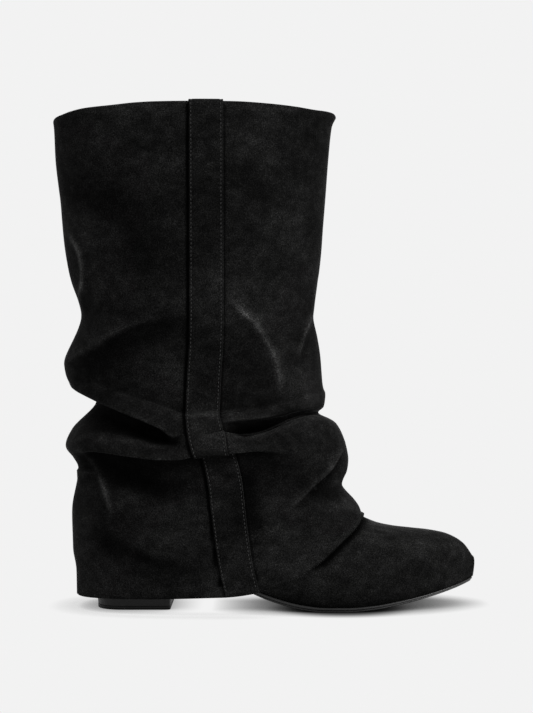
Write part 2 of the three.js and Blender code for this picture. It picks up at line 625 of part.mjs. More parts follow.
// The heel: rounded at the back, straight at the breast, widening up to the seat.
const heelSquareness = 2.7;
const breastShare = 0.55; // the share of the heel's length ahead of its widest place
const seatBack = 0.018; // the share of footLength where the seat's back stands
function heelRing(z, share) {
  const back = lerp(heelSetback, seatBack * footLength, lerp(share, ease(share), 0.6));
  const breast = lerp(heelSetback + heelLength, heelBreast, share);
  const half = heelWidth / 2 + heelFlare * share;
  const widest = lerp(back, breast, 1 - breastShare);
  const curve = Array.from({ length: heelSteps + 1 }, (_, i) => {
    const o = oval(Math.PI / 2 + (Math.PI * i) / heelSteps, widest - back, half, heelSquareness);
    return new THREE.Vector3(widest + o.along, o.across, z);
  });
  const front = [
    [breast - heelCorner, 0.985],
    [breast - 0.3 * heelCorner, 0.96],
    [breast, 0.9],
  ];
  return [
    ...front.map(([x, w]) => new THREE.Vector3(x, -w * half, z)).reverse(),
    ...curve,
    ...front.map(([x, w]) => new THREE.Vector3(x, w * half, z)),
  ];
}
const heelTip = loft(
  [0, 0.4, 1].map((up) => heelRing(up * heelTipThickness, up === 0 ? -0.02 : 0)),
);
const heelStart = heelTipThickness + gap;
const heelBlock = loft(
  [0, 0.25, 0.5, 0.75, 1].map((t) => heelRing(lerp(heelStart, 1.2 * heelHeight, t), t)),
).subtract(besideCurve((x) => soleUnderside(x) - gap, wide));

// The cuff: facing inside the collar, turned edge, and the folded tube outside, as one wall.
function collarArc(radius, steps) {
  return Array.from({ length: steps }, (_, i) => {
    const angle = Math.PI * (1 - (i + 1) / (steps + 1));
    return ringTurn.map((turn) => {
      const p = plainCuff(turn, rollCentre, radius * Math.cos(angle) - collarRoll / 2);
      p.z += radius * Math.sin(angle);
      return p;
    });
  });
}
function facing(inset) {
  const depths = [facingDepth, facingDepth / 2, 0];
  return depths.map((depth) => ringTurn.map((turn) => plainCuff(turn, rollCentre - depth, inset)));
}

// Where the cuff meets the foot it lies on it: a point too near the foot is moved out along its normal.
const drapeClearance = cuffWall + 3 * gap;
const drapePlaces = Array.from({ length: drapeSteps + 1 }, (_, i) => lerp(0.4, 1, i / drapeSteps));
const drapeRings = drapePlaces.map((place) => upperRing(place, 2 * ringTurns));
const drapeSurface = insetRings(drapeRings, -1).map((ring, r) =>
  ring.map((outer, i) => ({ at: drapeRings[r][i], normal: outer.clone().sub(drapeRings[r][i]) })),
).flat();
function overFoot(point) {
  if (point.z > instepHeight) return point;
  const nearer = (a, b) => (point.distanceToSquared(b.at) < point.distanceToSquared(a.at) ? b : a);
  const nearest = drapeSurface.reduce(nearer);
  const height = point.clone().sub(nearest.at).dot(nearest.normal);
  return height < drapeClearance ? point.addScaledVector(nearest.normal, drapeClearance - height) : point;
}

// Rows of the folded tube by lines down its profile: two to a span, three where it turns back under a lip.
const profiles = ringTurn.map(cuffProfile);
function stepsBelow(line) {
  if (line < 2) return 1;
  return line < 4 || cuffLines[line - 2].name.includes("lip") ? 3 : 2;
}
const rowPlaces = [];
for (let line = 0; line < profileSpans; line++) {
  const steps = stepsBelow(line);
  for (let i = 0; i < steps; i++) rowPlaces.push(line + i / steps);
}
rowPlaces.push(profileSpans);
const cuffOuter = rowPlaces.map((lines) =>
  ringTurn.map((turn, i) => overFoot(foldedCuff(turn, profiles[i], lines))),
);
const cuffInner = insetRings(cuffOuter, cuffWall).map((ring, r) =>
  rowPlaces[r] > 1 ? ring : ring.map((p, i) => plainCuff(ringTurn[i], cuffOuter[r][i].z, -cuffWall)),
);
const cuff = sleeve([
  ...facing(-collarRoll),
  ...collarArc(collarRoll / 2, 5),
  ...cuffOuter,
  ...cuffInner.toReversed(),
  ...collarArc(collarRoll / 2 - cuffWall, 3).reverse(),
  ...facing(cuffWall - collarRoll).reverse(),
]);

// The band: cut between two larger forms of the cuff by its outline from the side, up to the collar's crest.
function bandForm(out) {
  return loft([...collarArc(collarRoll / 2 + out, 5).slice(2), ...insetRings(cuffOuter, -out)]);
}
const bandAt = (z) => collarLength * along(bandLine, "height", "at", z / bootHeight) - collarOverhang;
const [bandTop, bandFoot] = [bandLine[0], bandLine.at(-1)].map((row) => row.height * bootHeight);
const bandHeights = Array.from({ length: bandSteps + 1 }, (_, i) => lerp(bandFoot, bandTop, i / bandSteps));
const bandOutline = [
  ...bandHeights.map((z) => [bandAt(z) - bandWidth / 2, z]),
  ...bandHeights.toReversed().map((z) => [bandAt(z) + bandWidth / 2, z]),
];
const collarCrest = ringTurn.map((turn) => plainCuff(turn, rollCentre, -collarRoll / 2));
const collarHole = extrudeOutline(collarCrest.map((p) => [p.x, p.y]), legTop, 2 * bootHeight, "z");
const sideBand = bandForm(gap + bandThickness)
  .subtract(bandForm(gap))
  .intersect(extrudeOutline(bandOutline, collarWidth / 4, wide, "y"))
  .subtract(collarHole);

// The pieces in place, with the origin on the floor under the middle of the whole boot.
const boot = new THREE.Group();
function addPiece(name, solid, look) {
  const mesh = solid.getMesh();
  const geometry = new THREE.BufferGeometry();
  geometry.setAttribute("position", new THREE.BufferAttribute(new Float32Array(mesh.vertProperties), 3));
  geometry.setIndex(new THREE.BufferAttribute(new Uint32Array(mesh.triVerts), 1));
  geometry.computeVertexNormals();
  const piece = new THREE.Mesh(geometry, new THREE.MeshStandardMaterial(look));
  piece.name = name;
  boot.add(piece);
}
addPiece("outsole", outsole, soleRubber);
addPiece("heel_tip", heelTip, soleRubber);
addPiece("heel_block", heelBlock, heelCover);
addPiece("insole", insole, lining);
addPiece("upper", upper, suede);
addPiece("cuff", cuff, suede);
addPiece("side_band", sideBand, suede);
const extent = new THREE.Box3().setFromObject(boot);
const centre = extent.getCenter(new THREE.Vector3());
boot.position.set(-centre.x, -centre.y, -extent.min.z);

export default boot;
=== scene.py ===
"""Looks of a right slouch boot in black suede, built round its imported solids.

Sizes are in millimetres in the boot's own measure, which starts at the heel counter (x), the middle of the
heel (y) and the floor (z). Toe towards +x, outer side of the foot towards -y. place() turns it into the frame.
"""

import math

import bpy
import numpy as np
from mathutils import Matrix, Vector
from mathutils.kdtree import KDTree


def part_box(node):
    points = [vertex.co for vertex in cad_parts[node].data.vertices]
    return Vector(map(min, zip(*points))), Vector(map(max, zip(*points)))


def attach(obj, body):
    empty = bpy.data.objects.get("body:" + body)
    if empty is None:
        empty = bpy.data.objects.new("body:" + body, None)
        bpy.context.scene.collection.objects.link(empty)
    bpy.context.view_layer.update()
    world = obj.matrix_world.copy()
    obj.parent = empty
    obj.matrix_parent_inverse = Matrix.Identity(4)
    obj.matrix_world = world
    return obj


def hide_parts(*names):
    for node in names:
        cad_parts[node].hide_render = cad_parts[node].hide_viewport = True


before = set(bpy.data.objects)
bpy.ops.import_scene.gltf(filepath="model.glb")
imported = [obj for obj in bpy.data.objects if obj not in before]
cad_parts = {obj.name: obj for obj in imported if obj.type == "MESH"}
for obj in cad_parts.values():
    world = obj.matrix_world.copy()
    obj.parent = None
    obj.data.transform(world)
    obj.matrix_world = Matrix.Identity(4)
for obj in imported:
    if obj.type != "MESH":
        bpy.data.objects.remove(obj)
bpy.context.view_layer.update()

# Driving dimensions, as in the solids.
FOOT_LENGTH = 243
BALL_WIDTH = 86
INSTEP_HEIGHT = 84
HEEL_HEIGHT = 46
ANKLE_HEIGHT = 128
ANKLE_WIDTH = 74
BOOT_HEIGHT = 303
COLLAR_LENGTH = 173
COLLAR_WIDTH = 116
COLLAR_OVERHANG = 17.5
RIM_FROM = 0.93  # the height from which the leg follows its rim, as a share of BOOT_HEIGHT
UPPER_WALL = 1.6
CUFF_WALL = 1.4
FACING_DEPTH = 26
GAP = 0.3
SOLE_THICKNESS = 3
TOE_THINNING = 0.33
SOLE_MARGIN = 1.3
SOLE_STEP = 0.9
INSOLE_THICKNESS = 2.2
HEEL_LENGTH = 45.5
HEEL_WIDTH = 49
HEEL_SETBACK = 10.5
HEEL_BREAST = 58
HEEL_TIP = 2
BAND_WIDTH = 20.5
BAND_THICKNESS = 1.1
FOLD_DEPTH = 10
FOLD_EDGE = 0.35  # a side fold's edge, as a share of its narrower side

# Camera and room.
CAMERA_DISTANCE = 1100
CAMERA_X = 114.4
CAMERA_HEIGHT = 153.6
FRAME_HEIGHT = 442.06  # what the photograph's height spans at the boot's middle
SENSOR = 36

# Light: the world and the lit floor as radiance, and suns as direction, power in W/m2 and spread in degrees.
WORLD_LIGHT = 0.45
FLOOR_LIGHT = 0.888
SHADOW_REACH = 20  # how far from the boot the contact shadow painted into the floor's glow reaches, in mm
BALL_SHADE = (160, -20, 0)  # the middle of the shade painted on the floor round the ball, where the sole rests
BALL_SHADE_RADII = (44, 38, 20)
BALL_SHADE_FADE = (0.5, 1.1)  # the shares of those radii between which it fades
BALL_SHADE_LIGHT = 0.12  # the share of light left in it
SUNS = [
    ("key", (0.8, -0.52, 0.4), 2.8, 20),
    ("top", (0.1, 0.1, 1), 0.4, 30),
]

# The underside of the sole: place along the foot and height, as shares of FOOT_LENGTH and HEEL_HEIGHT.
SOLE_CURVE = [
    (-0.02, 1.02), (0.1, 0.925), (0.21, 0.78), (0.31, 0.55), (0.4, 0.31), (0.485, 0.125), (0.56, 0.028),
    (0.61, 0), (0.67, 0), (0.73, 0.022), (0.8, 0.08), (0.88, 0.17), (0.95, 0.265), (1.01, 0.36),
]

# Leg sections: share of the way from ankle to facing, and share of the way from the ankle's shape to the collar's.
LEG_SECTIONS = [(1, 1), (0.69, 0.66), (0.4, 0.3), (0.15, 0.07)]

# Foot sections: back, rise, front, top, lateral, medial. back and front are shares of FOOT_LENGTH, rise and top
# of INSTEP_HEIGHT, lateral and medial of BALL_WIDTH. A section with no rise follows the sole.
FOOT_SECTIONS = [
    (0.052, 1.4, 0.447, 1.62, 0.44, 0.42),
    (0.016, 1.1, 0.467, 1.35, 0.405, 0.39),
    (0.003, 0.84, 0.498, 1.14, 0.385, 0.375),
    (0.01, 0.64, 0.535, 1, 0.37, 0.365),
    (0.03, None, 0.56, 0.93, 0.365, 0.36),
    (0.1, None, 0.6, 0.845, 0.36, 0.35),
    (0.24, None, 0.645, 0.76, 0.375, 0.345),
    (0.38, None, 0.695, 0.68, 0.41, 0.365),
    (0.52, None, 0.745, 0.612, 0.475, 0.445),
    (0.625, None, 0.79, 0.58, 0.49, 0.505),
    (0.72, None, 0.84, 0.562, 0.45, 0.52),
    (0.81, None, 0.89, 0.546, 0.37, 0.49),
    (0.885, None, 0.935, 0.517, 0.27, 0.42),
    (0.945, None, 0.972, 0.455, 0.15, 0.32),
    (0.985, None, 0.996, 0.36, 0.03, 0.2),
]
TUCK = 6
ROUND_LEG, ROUND_INSTEP, ROUND_UNDERFOOT, ROUND_HEM = 2.15, 2.3, 3.8, 2.5

# The cuff without folds: height as a share of BOOT_HEIGHT, back and front of COLLAR_LENGTH, side of COLLAR_WIDTH.
CUFF_RINGS = [
    (0.992, 0, 1.011, 0.49),
    (0.976, 0.003, 0.997, 0.4895),
    (0.91, 0.008, 0.984, 0.488),
    (0.825, 0.025, 0.973, 0.483),
    (0.74, 0.039, 0.96, 0.473),
    (0.66, 0.062, 0.945, 0.457),
    (0.58, 0.092, 0.936, 0.448),
    (0.46, 0.096, 0.94, 0.45),
    (0.33, 0.095, 0.983, 0.457),
    (0.25, 0.083, 1.026, 0.45),
    (0.19, 0.073, 1.1, 0.442),
    (0.12, 0.071, 1.115, 0.435),
    (0.075, 0.083, 1.115, 0.433),
    (0.02, 0.086, 1.115, 0.43),
]

# The rim of the collar: place from its back to its front, as a share, and how far it is lifted, in mm.
COLLAR_RIM = [
    (0, -2.7), (0.04, -2.5), (0.075, -1.6), (0.135, -0.5), (0.22, 0), (0.31, 1), (0.38, 1.35), (0.64, 1.5),
    (0.77, 0.8), (0.86, 0), (0.92, -0.6), (0.96, -0.2), (1, 0.6),
]

# The lines the folded cuff is drawn through, top down: turn in degrees (0 front, 90 lateral, 180 back), height as
# a share of BOOT_HEIGHT, and how far it stands out as a share of FOLD_DEPTH. Where a line lies higher than the one
# before it, the cloth doubles back behind a lip.
CUFF_LINES = {
    "calf": [(0, 0.775, 0)],
    "lower calf": [
        (180, 0.677, 0), (150, 0.685, -0.05), (120, 0.68, -0.12), (100, 0.68, -0.05), (90, 0.68, 0),
        (30, 0.68, -0.05), (0, 0.68, 0.05), (-90, 0.675, 0.05),
    ],
    "over the swag": [
        (180, 0.584, -0.15), (150, 0.6, -0.05), (120, 0.628, 0.05), (100, 0.64, 0.05), (90, 0.64, 0),
        (60, 0.627, 0), (30, 0.604, -0.1), (0, 0.594, -0.13), (-45, 0.61, -0.05), (-90, 0.645, 0),
        (-130, 0.615, -0.05),
    ],
    "swag's crest": [
        (180, 0.498, 0.97), (165, 0.503, 0.88), (150, 0.514, 0.72), (140, 0.526, 0.62), (128, 0.548, 0.5),
        (116, 0.567, 0.36), (108, 0.58, 0.26), (100, 0.583, 0.18), (90, 0.575, 0.1), (75, 0.57, 0.02),
        (60, 0.565, 0), (30, 0.555, 0.1), (0, 0.545, 0.15), (-30, 0.55, 0.1), (-60, 0.57, 0.05),
        (-90, 0.59, 0.1), (-115, 0.56, 0.3), (-140, 0.525, 0.6), (-162, 0.503, 0.85),
    ],
    "under the swag": [
        (180, 0.482, 0.97), (165, 0.482, 0.68), (150, 0.481, 0.36), (140, 0.487, 0.15), (128, 0.503, 0),
        (116, 0.519, -0.12), (106, 0.532, -0.15), (95, 0.537, -0.12), (85, 0.53, -0.1), (60, 0.525, 0),
        (30, 0.515, 0.15), (0, 0.51, 0.3), (-30, 0.512, 0.2), (-60, 0.53, 0), (-90, 0.55, 0),
        (-115, 0.535, 0.1), (-140, 0.5, 0.3), (-162, 0.482, 0.65),
    ],
    "crease over the roll": [
        (180, 0.466, 0.86), (165, 0.464, 0.6), (150, 0.458, 0.32), (135, 0.449, 0.14), (120, 0.434, 0.02),
        (105, 0.415, -0.05), (95, 0.399, -0.05), (90, 0.395, -0.05), (80, 0.397, -0.08), (75, 0.401, -0.1),
        (62, 0.405, -0.05), (54, 0.413, 0.02), (44, 0.424, 0.17), (30, 0.434, 0.35), (0, 0.442, 0.42),
        (-30, 0.44, 0.3), (-60, 0.42, 0.1), (-90, 0.41, 0), (-120, 0.43, 0.1), (-150, 0.458, 0.45),
    ],
    "roll's brow": [
        (180, 0.459, 0.75), (165, 0.456, 0.68), (150, 0.45, 0.52), (135, 0.441, 0.4), (120, 0.426, 0.28),
        (105, 0.407, 0.17), (95, 0.3935, 0.2), (90, 0.39, 0.24), (80, 0.3925, 0.22), (75, 0.396, 0.2),
        (62, 0.3995, 0.22), (54, 0.406, 0.24), (44, 0.415, 0.32), (30, 0.425, 0.44), (0, 0.432, 0.5),
        (-30, 0.43, 0.42), (-60, 0.411, 0.25), (-90, 0.4, 0.2), (-120, 0.421, 0.28), (-150, 0.45, 0.55),
    ],
    "upper lip": [
        (180, 0.45, 0.5), (165, 0.443, 0.6), (150, 0.431, 0.62), (140, 0.42, 0.62), (121, 0.394, 0.62),
        (106, 0.368, 0.6), (100, 0.352, 0.6), (95, 0.358, 0.56), (90, 0.366, 0.55), (83, 0.378, 0.46),
        (75, 0.3835, 0.42), (67, 0.386, 0.42), (51, 0.394, 0.42), (38, 0.4025, 0.4), (25, 0.405, 0.3),
        (0, 0.404, 0.25), (-30, 0.398, 0.5), (-60, 0.385, 0.55), (-90, 0.378, 0.6), (-120, 0.4, 0.6),
        (-150, 0.43, 0.6),
    ],
    "behind the upper lip": [
        (180, 0.443, 0.1), (165, 0.44, -0.05), (150, 0.436, -0.15), (140, 0.428, -0.2), (121, 0.402, -0.2),
        (106, 0.374, -0.1), (100, 0.35, 0.4), (95, 0.354, 0.6), (90, 0.358, 0.62), (83, 0.3675, 0.5),
        (78, 0.373, 0.1), (67, 0.3755, -0.15), (51, 0.3855, -0.15), (38, 0.3955, -0.1), (25, 0.3995, 0),
        (0, 0.4, 0.1), (-30, 0.392, 0), (-60, 0.38, -0.1), (-90, 0.371, -0.05), (-120, 0.39, -0.1),
        (-150, 0.424, -0.1),
    ],
    "upper pocket": [
        (180, 0.418, -1), (165, 0.412, -1), (150, 0.402, -0.95), (140, 0.39, -0.9), (121, 0.365, -0.85),
        (106, 0.347, -0.65), (100, 0.342, 0.1), (95, 0.35, 0.62), (90, 0.352, 0.66), (83, 0.361, 0.3),
        (78, 0.352, -0.4), (70, 0.348, -0.9), (60, 0.353, -0.95), (51, 0.365, -0.9), (38, 0.381, -0.7),
        (25, 0.389, -0.4), (10, 0.393, -0.2), (0, 0.392, -0.15), (-30, 0.384, -0.5), (-60, 0.372, -0.8),
        (-90, 0.362, -0.7), (-120, 0.376, -0.8), (-150, 0.402, -0.9),
    ],
    "lower roll's top": [
        (180, 0.36, 0.48), (150, 0.348, 0.5), (140, 0.344, 0.5), (121, 0.341, 0.42), (106, 0.329, 0.42),
        (100, 0.328, 0.52), (95, 0.332, 0.64), (90, 0.339, 0.69), (84, 0.353, 0.55), (80, 0.36, 0.4),
        (76, 0.356, 0.3), (67, 0.353, 0.36), (60, 0.359, 0.4), (51, 0.37, 0.42), (38, 0.383, 0.42),
        (25, 0.386, 0.48), (15, 0.379, 0.6), (0, 0.37, 0.8), (-15, 0.366, 0.8), (-45, 0.355, 0.5),
        (-90, 0.34, 0.5), (-130, 0.35, 0.45),
    ],
    "lower lip": [
        (180, 0.325, 0.87), (165, 0.321, 0.82), (150, 0.319, 0.8), (140, 0.319, 0.78), (121, 0.312, 0.78),
        (106, 0.306, 0.74), (99, 0.306, 0.7), (92, 0.3125, 0.68), (81, 0.3175, 0.68), (75, 0.32, 0.7),
        (67, 0.323, 0.7), (51, 0.321, 0.74), (40, 0.3145, 0.8), (30, 0.308, 0.9), (15, 0.304, 1.1),
        (0, 0.305, 1.05), (-15, 0.298, 1.1), (-45, 0.305, 0.8), (-90, 0.308, 0.7), (-130, 0.31, 0.75),
    ],
    "behind the lower lip": [
        (180, 0.3, 0.35), (165, 0.3, 0.2), (153, 0.31, 0.05), (143, 0.325, -0.1), (121, 0.323, -0.15),
        (106, 0.318, -0.15), (99, 0.319, -0.12), (92, 0.3255, -0.1), (81, 0.3295, -0.1), (75, 0.328, 0),
        (67, 0.322, 0.25), (58, 0.3105, 0.42), (45, 0.298, 0.6), (30, 0.287, 0.8), (15, 0.278, 0.9),
        (0, 0.277, 0.64), (-20, 0.272, 0.6), (-50, 0.285, 0.35), (-90, 0.29, 0.15), (-130, 0.292, 0.15),
    ],
    "hollow": [
        (180, 0.28, 0), (155, 0.28, -0.15), (140, 0.276, -0.33), (121, 0.265, -0.45), (106, 0.255, -0.45),
        (90, 0.262, -0.36), (75, 0.268, -0.28), (60, 0.262, -0.15), (45, 0.244, 0), (30, 0.232, 0.1),
        (15, 0.238, 0), (0, 0.249, 0), (-20, 0.245, 0), (-50, 0.25, -0.1), (-90, 0.265, -0.3),
        (-130, 0.265, -0.3),
    ],
    "over the heel": [
        (180, 0.205, 0.1), (120, 0.198, 0.12), (90, 0.2, 0.1), (60, 0.2, 0.05), (45, 0.2, 0.15),
        (30, 0.205, 0.2), (15, 0.212, 0.1), (0, 0.218, 0.05), (-20, 0.21, 0.1), (-60, 0.2, 0.1),
    ],
    "over the hem": [
        (180, 0.12, 0), (150, 0.115, -0.1), (120, 0.105, -0.15), (90, 0.1, 0), (75, 0.11, 0),
        (60, 0.135, 0), (45, 0.155, 0), (30, 0.172, 0), (15, 0.184, 0), (0, 0.19, 0), (-30, 0.172, 0),
        (-60, 0.135, 0), (-90, 0.1, 0), (-120, 0.105, -0.1),
    ],
    "hem": [
        (180, 0.027, 0), (120, 0.032, 0), (90, 0.037, 0), (82, 0.043, 0), (75, 0.054, 0), (65, 0.07, 0),
        (52, 0.1, 0), (38, 0.13, 0), (27, 0.148, 0), (12, 0.174, 0), (0, 0.178, 0), (-12, 0.174, 0),
        (-27, 0.148, 0), (-38, 0.13, 0), (-52, 0.1, 0), (-65, 0.07, 0), (-82, 0.043, 0), (-90, 0.037, 0),
        (-120, 0.032, 0),
    ],
}

# Folds of the cuff's outer side, seen from the side: how far the cloth rises on the left of the route and dips on
# its right, and how wide each side is, in mm, then the route as x, z in mm and strength. A ridge has a negative dip.
SIDE_FOLDS = [
    ("back swag", 0, 1.9, 8, 11,
     [(-8, 150, 0), (0, 153, 0.6), (10, 157.5, 1), (28, 167.5, 1), (46, 174, 0.8), (63, 176.5, 0.4),
      (75, 176, 0)]),
    ("under the roll", -1.7, 1.7, 8, 8, [(5, 93, 0.6), (28, 84, 1), (49, 75, 0.7), (69, 69, 0)]),
    ("crease line", 1.1, -1.1, 1.3, 1.3,
     [(64, 118.5, 0), (68, 118.7, 1), (88, 120.7, 1), (96, 121.5, 0.7), (110.5, 122.7, 0.7), (119.5, 125, 0.7),
      (128, 129, 0)]),
    ("front swag", 0.5, -0.5, 8, 6,
     [(84, 195, 0), (91.5, 189, 0.7), (99, 180.5, 1), (108, 172, 1), (114, 162, 1), (118.5, 153, 1),
      (121, 142.5, 0.9), (122, 132, 0.5), (122, 126, 0)]),
    ("swag's edge", 1.3, -1.3, 2.6, 2.2,
     [(90, 190.5, 0), (99, 180.5, 1), (108, 172, 1), (114, 162, 1), (118.5, 153, 1), (121, 142.5, 1),
      (122, 132, 0.3)]),
    ("shin fold", 1.3, -1.3, 1.5, 1.5,
     [(145.5, 200, 0), (143.8, 194, 0.7), (142, 182, 1), (140, 174, 1), (136.6, 166, 1), (134, 157, 0.8),
      (133, 150, 0)]),
    ("instep fold", 1, 1.3, 5, 3,
     [(125, 59, 0), (136, 68.5, 0.7), (144.5, 76.5, 1), (153.5, 84.5, 1), (160, 94, 0.5)]),
    ("shin ridge", 1.1, -1.1, 3.5, 3,
     [(155, 82, 0.3), (158.5, 74, 1), (163.5, 64, 1), (168, 58, 0.6), (173, 54, 0)]),
    ("heel ridge", 1.4, -1.4, 1.8, 2.2,
     [(0.5, 99, 0), (4, 95.5, 0.6), (8, 91, 1), (13.5, 82.5, 1), (17.5, 73.5, 1), (20.5, 65, 0.8), (23, 58, 0)]),
    ("hem trough", -1, 1, 5, 6,
     [(6, 49, 0), (12, 46.5, 0.8), (21, 41.5, 1), (35, 35.5, 1), (49, 30, 0.9), (65, 26.5, 0.6), (82, 24.5, 0)]),
    ("calf dent", -1.3, 1.3, 12, 10, [(-12, 258, 0), (5, 250, 1), (20, 241, 1), (36, 227, 1), (52, 209, 0)]),
    ("shin dent", -1, 1, 8, 8, [(92, 268, 0), (101, 260, 1), (114, 249, 1), (131, 236, 0)]),
    ("back ridge", 1.5, -1.5, 1.5, 2,
     [(-8, 230, 0), (-4, 226, 0.6), (1.1, 218, 1), (3.6, 208, 1), (3.4, 198, 1), (1.4, 189, 0.8), (4.5, 178, 0)]),
    ("trough beside the band", -2.2, 2.2, 8, 8,
     [(98, 90, 0), (101, 78, 0.9), (105, 62, 1), (107, 48, 0.6), (108, 36, 0)]),
    ("low front swell", 0.5, -0.5, 9, 9,
     [(138, 84, 0), (126, 70, 0.8), (116, 56, 1), (115, 42, 0.8), (122, 28, 0)]),
    ("wrinkle on the band", 0.4, 0.5, 2.5, 1.6, [(68, 146, 0), (75, 144, 1), (82, 140.5, 1), (87, 139, 0)]),
    ("wrinkle under it", 0.4, 0.5, 2.5, 1.6, [(66, 137, 0), (74, 133, 1), (81, 129, 1), (87, 127, 0)]),
    ("low wrinkle", 0.3, 0.45, 3, 2, [(76, 79.5, 0), (84, 81.5, 1), (92, 83.5, 1), (98, 84, 0)]),
]

# Strokes of painted light and shade on the nap, such as painted shade inside the front pocket and under the lip: how
# light on the left of the route and how dark on its right, as shares of full, how wide each side is, in mm, and the
# route as above.
PAINTED_STROKES = [
    ("leg's front", 0.12, -0.12, 22, 22, [(88, 290, 0.6), (102, 260, 1), (118, 225, 1), (112, 192, 0)]),
    ("behind the shin", -0.22, 0.22, 16, 16, [(96, 170, 0), (106, 152, 1), (108, 140, 1), (100, 133, 0)]),
    ("roll's face", -0.3, 0.3, 9, 9, [(4, 136, 0.4), (25, 124, 1), (45, 116, 1), (60, 108, 1), (68, 102, 0)]),
    ("roll's shoulder", -0.25, 0.25, 12, 12, [(98, 100, 0), (112, 104, 1), (130, 108, 1), (146, 112, 0.5)]),
    ("inside the front pocket", -0.9, -0.25, 5, 1.6,
     [(93, 110, 0), (97, 107.5, 0.7), (101, 106.5, 1), (108, 107.5, 1), (118, 111.5, 1), (126, 115.5, 1),
      (134, 118.5, 0.8), (142, 120.5, 0)]),
    ("swell beside the band", -0.4, 0.4, 8, 8, [(128, 76, 0), (126, 68, 1), (124, 60, 1), (122, 50, 0)]),
    ("band over the roll", 0.16, -0.16, 9, 9, [(76, 113, 0.8), (79, 106, 1), (84, 98, 0.8)]),
    ("band under the lip", -0.2, 0.2, 7, 7, [(84, 90, 1), (88, 83, 1), (92, 66, 0.7), (94, 45, 0.3)]),
    ("band above the roll", -0.2, 0.2, 8, 8, [(78, 147, 0.3), (77, 138, 1), (77, 129, 1), (78, 122, 0)]),
]

# The band's middle line: place down the cuff's profile, counted in lines, and x as a share of COLLAR_LENGTH. It
# slips towards the toe where it is hidden behind the lower lip.
BAND_LINE = [
    (-1, 0.5555), (6, 0.556), (7, 0.5545), (7.5, 0.547), (8, 0.5428), (9, 0.5435), (10, 0.5493), (11, 0.5515),
    (12, 0.5535), (13, 0.5595), (14, 0.5735), (15, 0.588), (16, 0.617), (17, 0.631), (18, 0.6545), (19, 0.679),
]


def ease(t):
    t = np.clip(t, 0, 1)
    return t * t * (3 - 2 * t)


def along(rows, x, column=1):
    """A smooth curve through rows sorted by their first column, read at x."""
    table = np.array(sorted(rows, key=lambda row: row[0]), float)
    keys, values = table[:, 0], table[:, column]
    step = np.diff(keys)
    slope = np.diff(values) / step
    same = slope[:-1] * slope[1:] > 0
    total = np.where(same, slope[:-1] + slope[1:], 1)
    inner = np.where(same, 2 * slope[:-1] * slope[1:] / total, 0)
    tangent = np.concatenate([slope[:1], inner, slope[-1:]])
    x = np.clip(x, keys[0], keys[-1])
    i = np.clip(np.searchsorted(keys, x, side="right") - 1, 0, len(keys) - 2)
    t = (x - keys[i]) / step[i]
    return (
        values[i] * (1 + 2 * t) * (1 - t) ** 2
        + tangent[i] * step[i] * t * (1 - t) ** 2
        + values[i + 1] * t * t * (3 - 2 * t)
        + tangent[i + 1] * step[i] * t * t * (t - 1)
    )


def through(points, places):
    """A centripetal curve through points (first axis), read at places counted in points."""
    ends = [2 * points[:1] - points[1:2], points, 2 * points[-1:] - points[-2:-1]]
    p = np.concatenate(ends)
    i = np.clip(places.astype(int), 0, len(points) - 2)
    t = (places - i).reshape((-1,) + (1,) * (points.ndim - 1))
    p0, p1, p2, p3 = p[i], p[i + 1], p[i + 2], p[i + 3]
    d0, d1, d2 = (
        np.maximum(np.linalg.norm(b - a, axis=-1, keepdims=True), 1e-4) ** 0.5
        for a, b in ((p0, p1), (p1, p2), (p2, p3))
    )
    m1 = d1 * ((p1 - p0) / d0 - (p2 - p0) / (d0 + d1) + (p2 - p1) / d1)
    m2 = d1 * ((p2 - p1) / d1 - (p3 - p1) / (d1 + d2) + (p3 - p2) / d2)
    return (
        p1 * (1 + 2 * t) * (1 - t) ** 2 + m1 * t * (1 - t) ** 2 + p2 * t * t * (3 - 2 * t) + m2 * t * t * (t - 1)
    )


def oval(turn, half, side, roundness):
    """A point of a rounded oval and its outward direction."""
    c, s = np.cos(turn), np.sin(turn)
    power = 2 / roundness
    nc, ns = side * np.abs(c) ** (2 - power), half * np.abs(s) ** (2 - power)
    length = np.hypot(nc, ns)
    return (
        np.sign(c) * np.abs(c) ** power * half,
        -np.sign(s) * np.abs(s) ** power * side,
        np.sign(c) * nc / length,
        -np.sign(s) * ns / length,
    )


def plain_cuff(turn, z, out):
    """The cuff's tube without folds, moved out by a distance."""
    height = z / BOOT_HEIGHT
    back = COLLAR_LENGTH * along(CUFF_RINGS, height, 1) - COLLAR_OVERHANG
    front = COLLAR_LENGTH * along(CUFF_RINGS, height, 2) - COLLAR_OVERHANG
    roundness = ROUND_LEG + (ROUND_HEM - ROUND_LEG) * ease((0.3 - height) / 0.28)
    x, y, nx, ny = oval(turn, (front - back) / 2, COLLAR_WIDTH * along(CUFF_RINGS, height, 3), roundness)
    x = (front + back) / 2 + x + out * nx
    lift = along(COLLAR_RIM, (x - back) / (front - back)) * ease((height - RIM_FROM) / (1 - RIM_FROM))
    return np.stack([x, y + out * ny, z + lift], axis=-1)


COLLAR_ROLL = 2 * CUFF_WALL + 2 * GAP + UPPER_WALL
ROLL_CENTRE = BOOT_HEIGHT - COLLAR_ROLL / 2
LEG_TOP = ROLL_CENTRE - FACING_DEPTH - 2
MEAN_RADIUS = (COLLAR_LENGTH + COLLAR_WIDTH) / 4
FULL_TURN = 2 * math.pi * MEAN_RADIUS


def sole_underside(x):
    return HEEL_HEIGHT * along(SOLE_CURVE, np.asarray(x) / FOOT_LENGTH)


def sole_depth(x):
    return SOLE_THICKNESS * (1 - TOE_THINNING * ease((np.asarray(x) / FOOT_LENGTH - 0.6) / 0.4))


def sole_top(x):
    return sole_underside(x) + sole_depth(x)


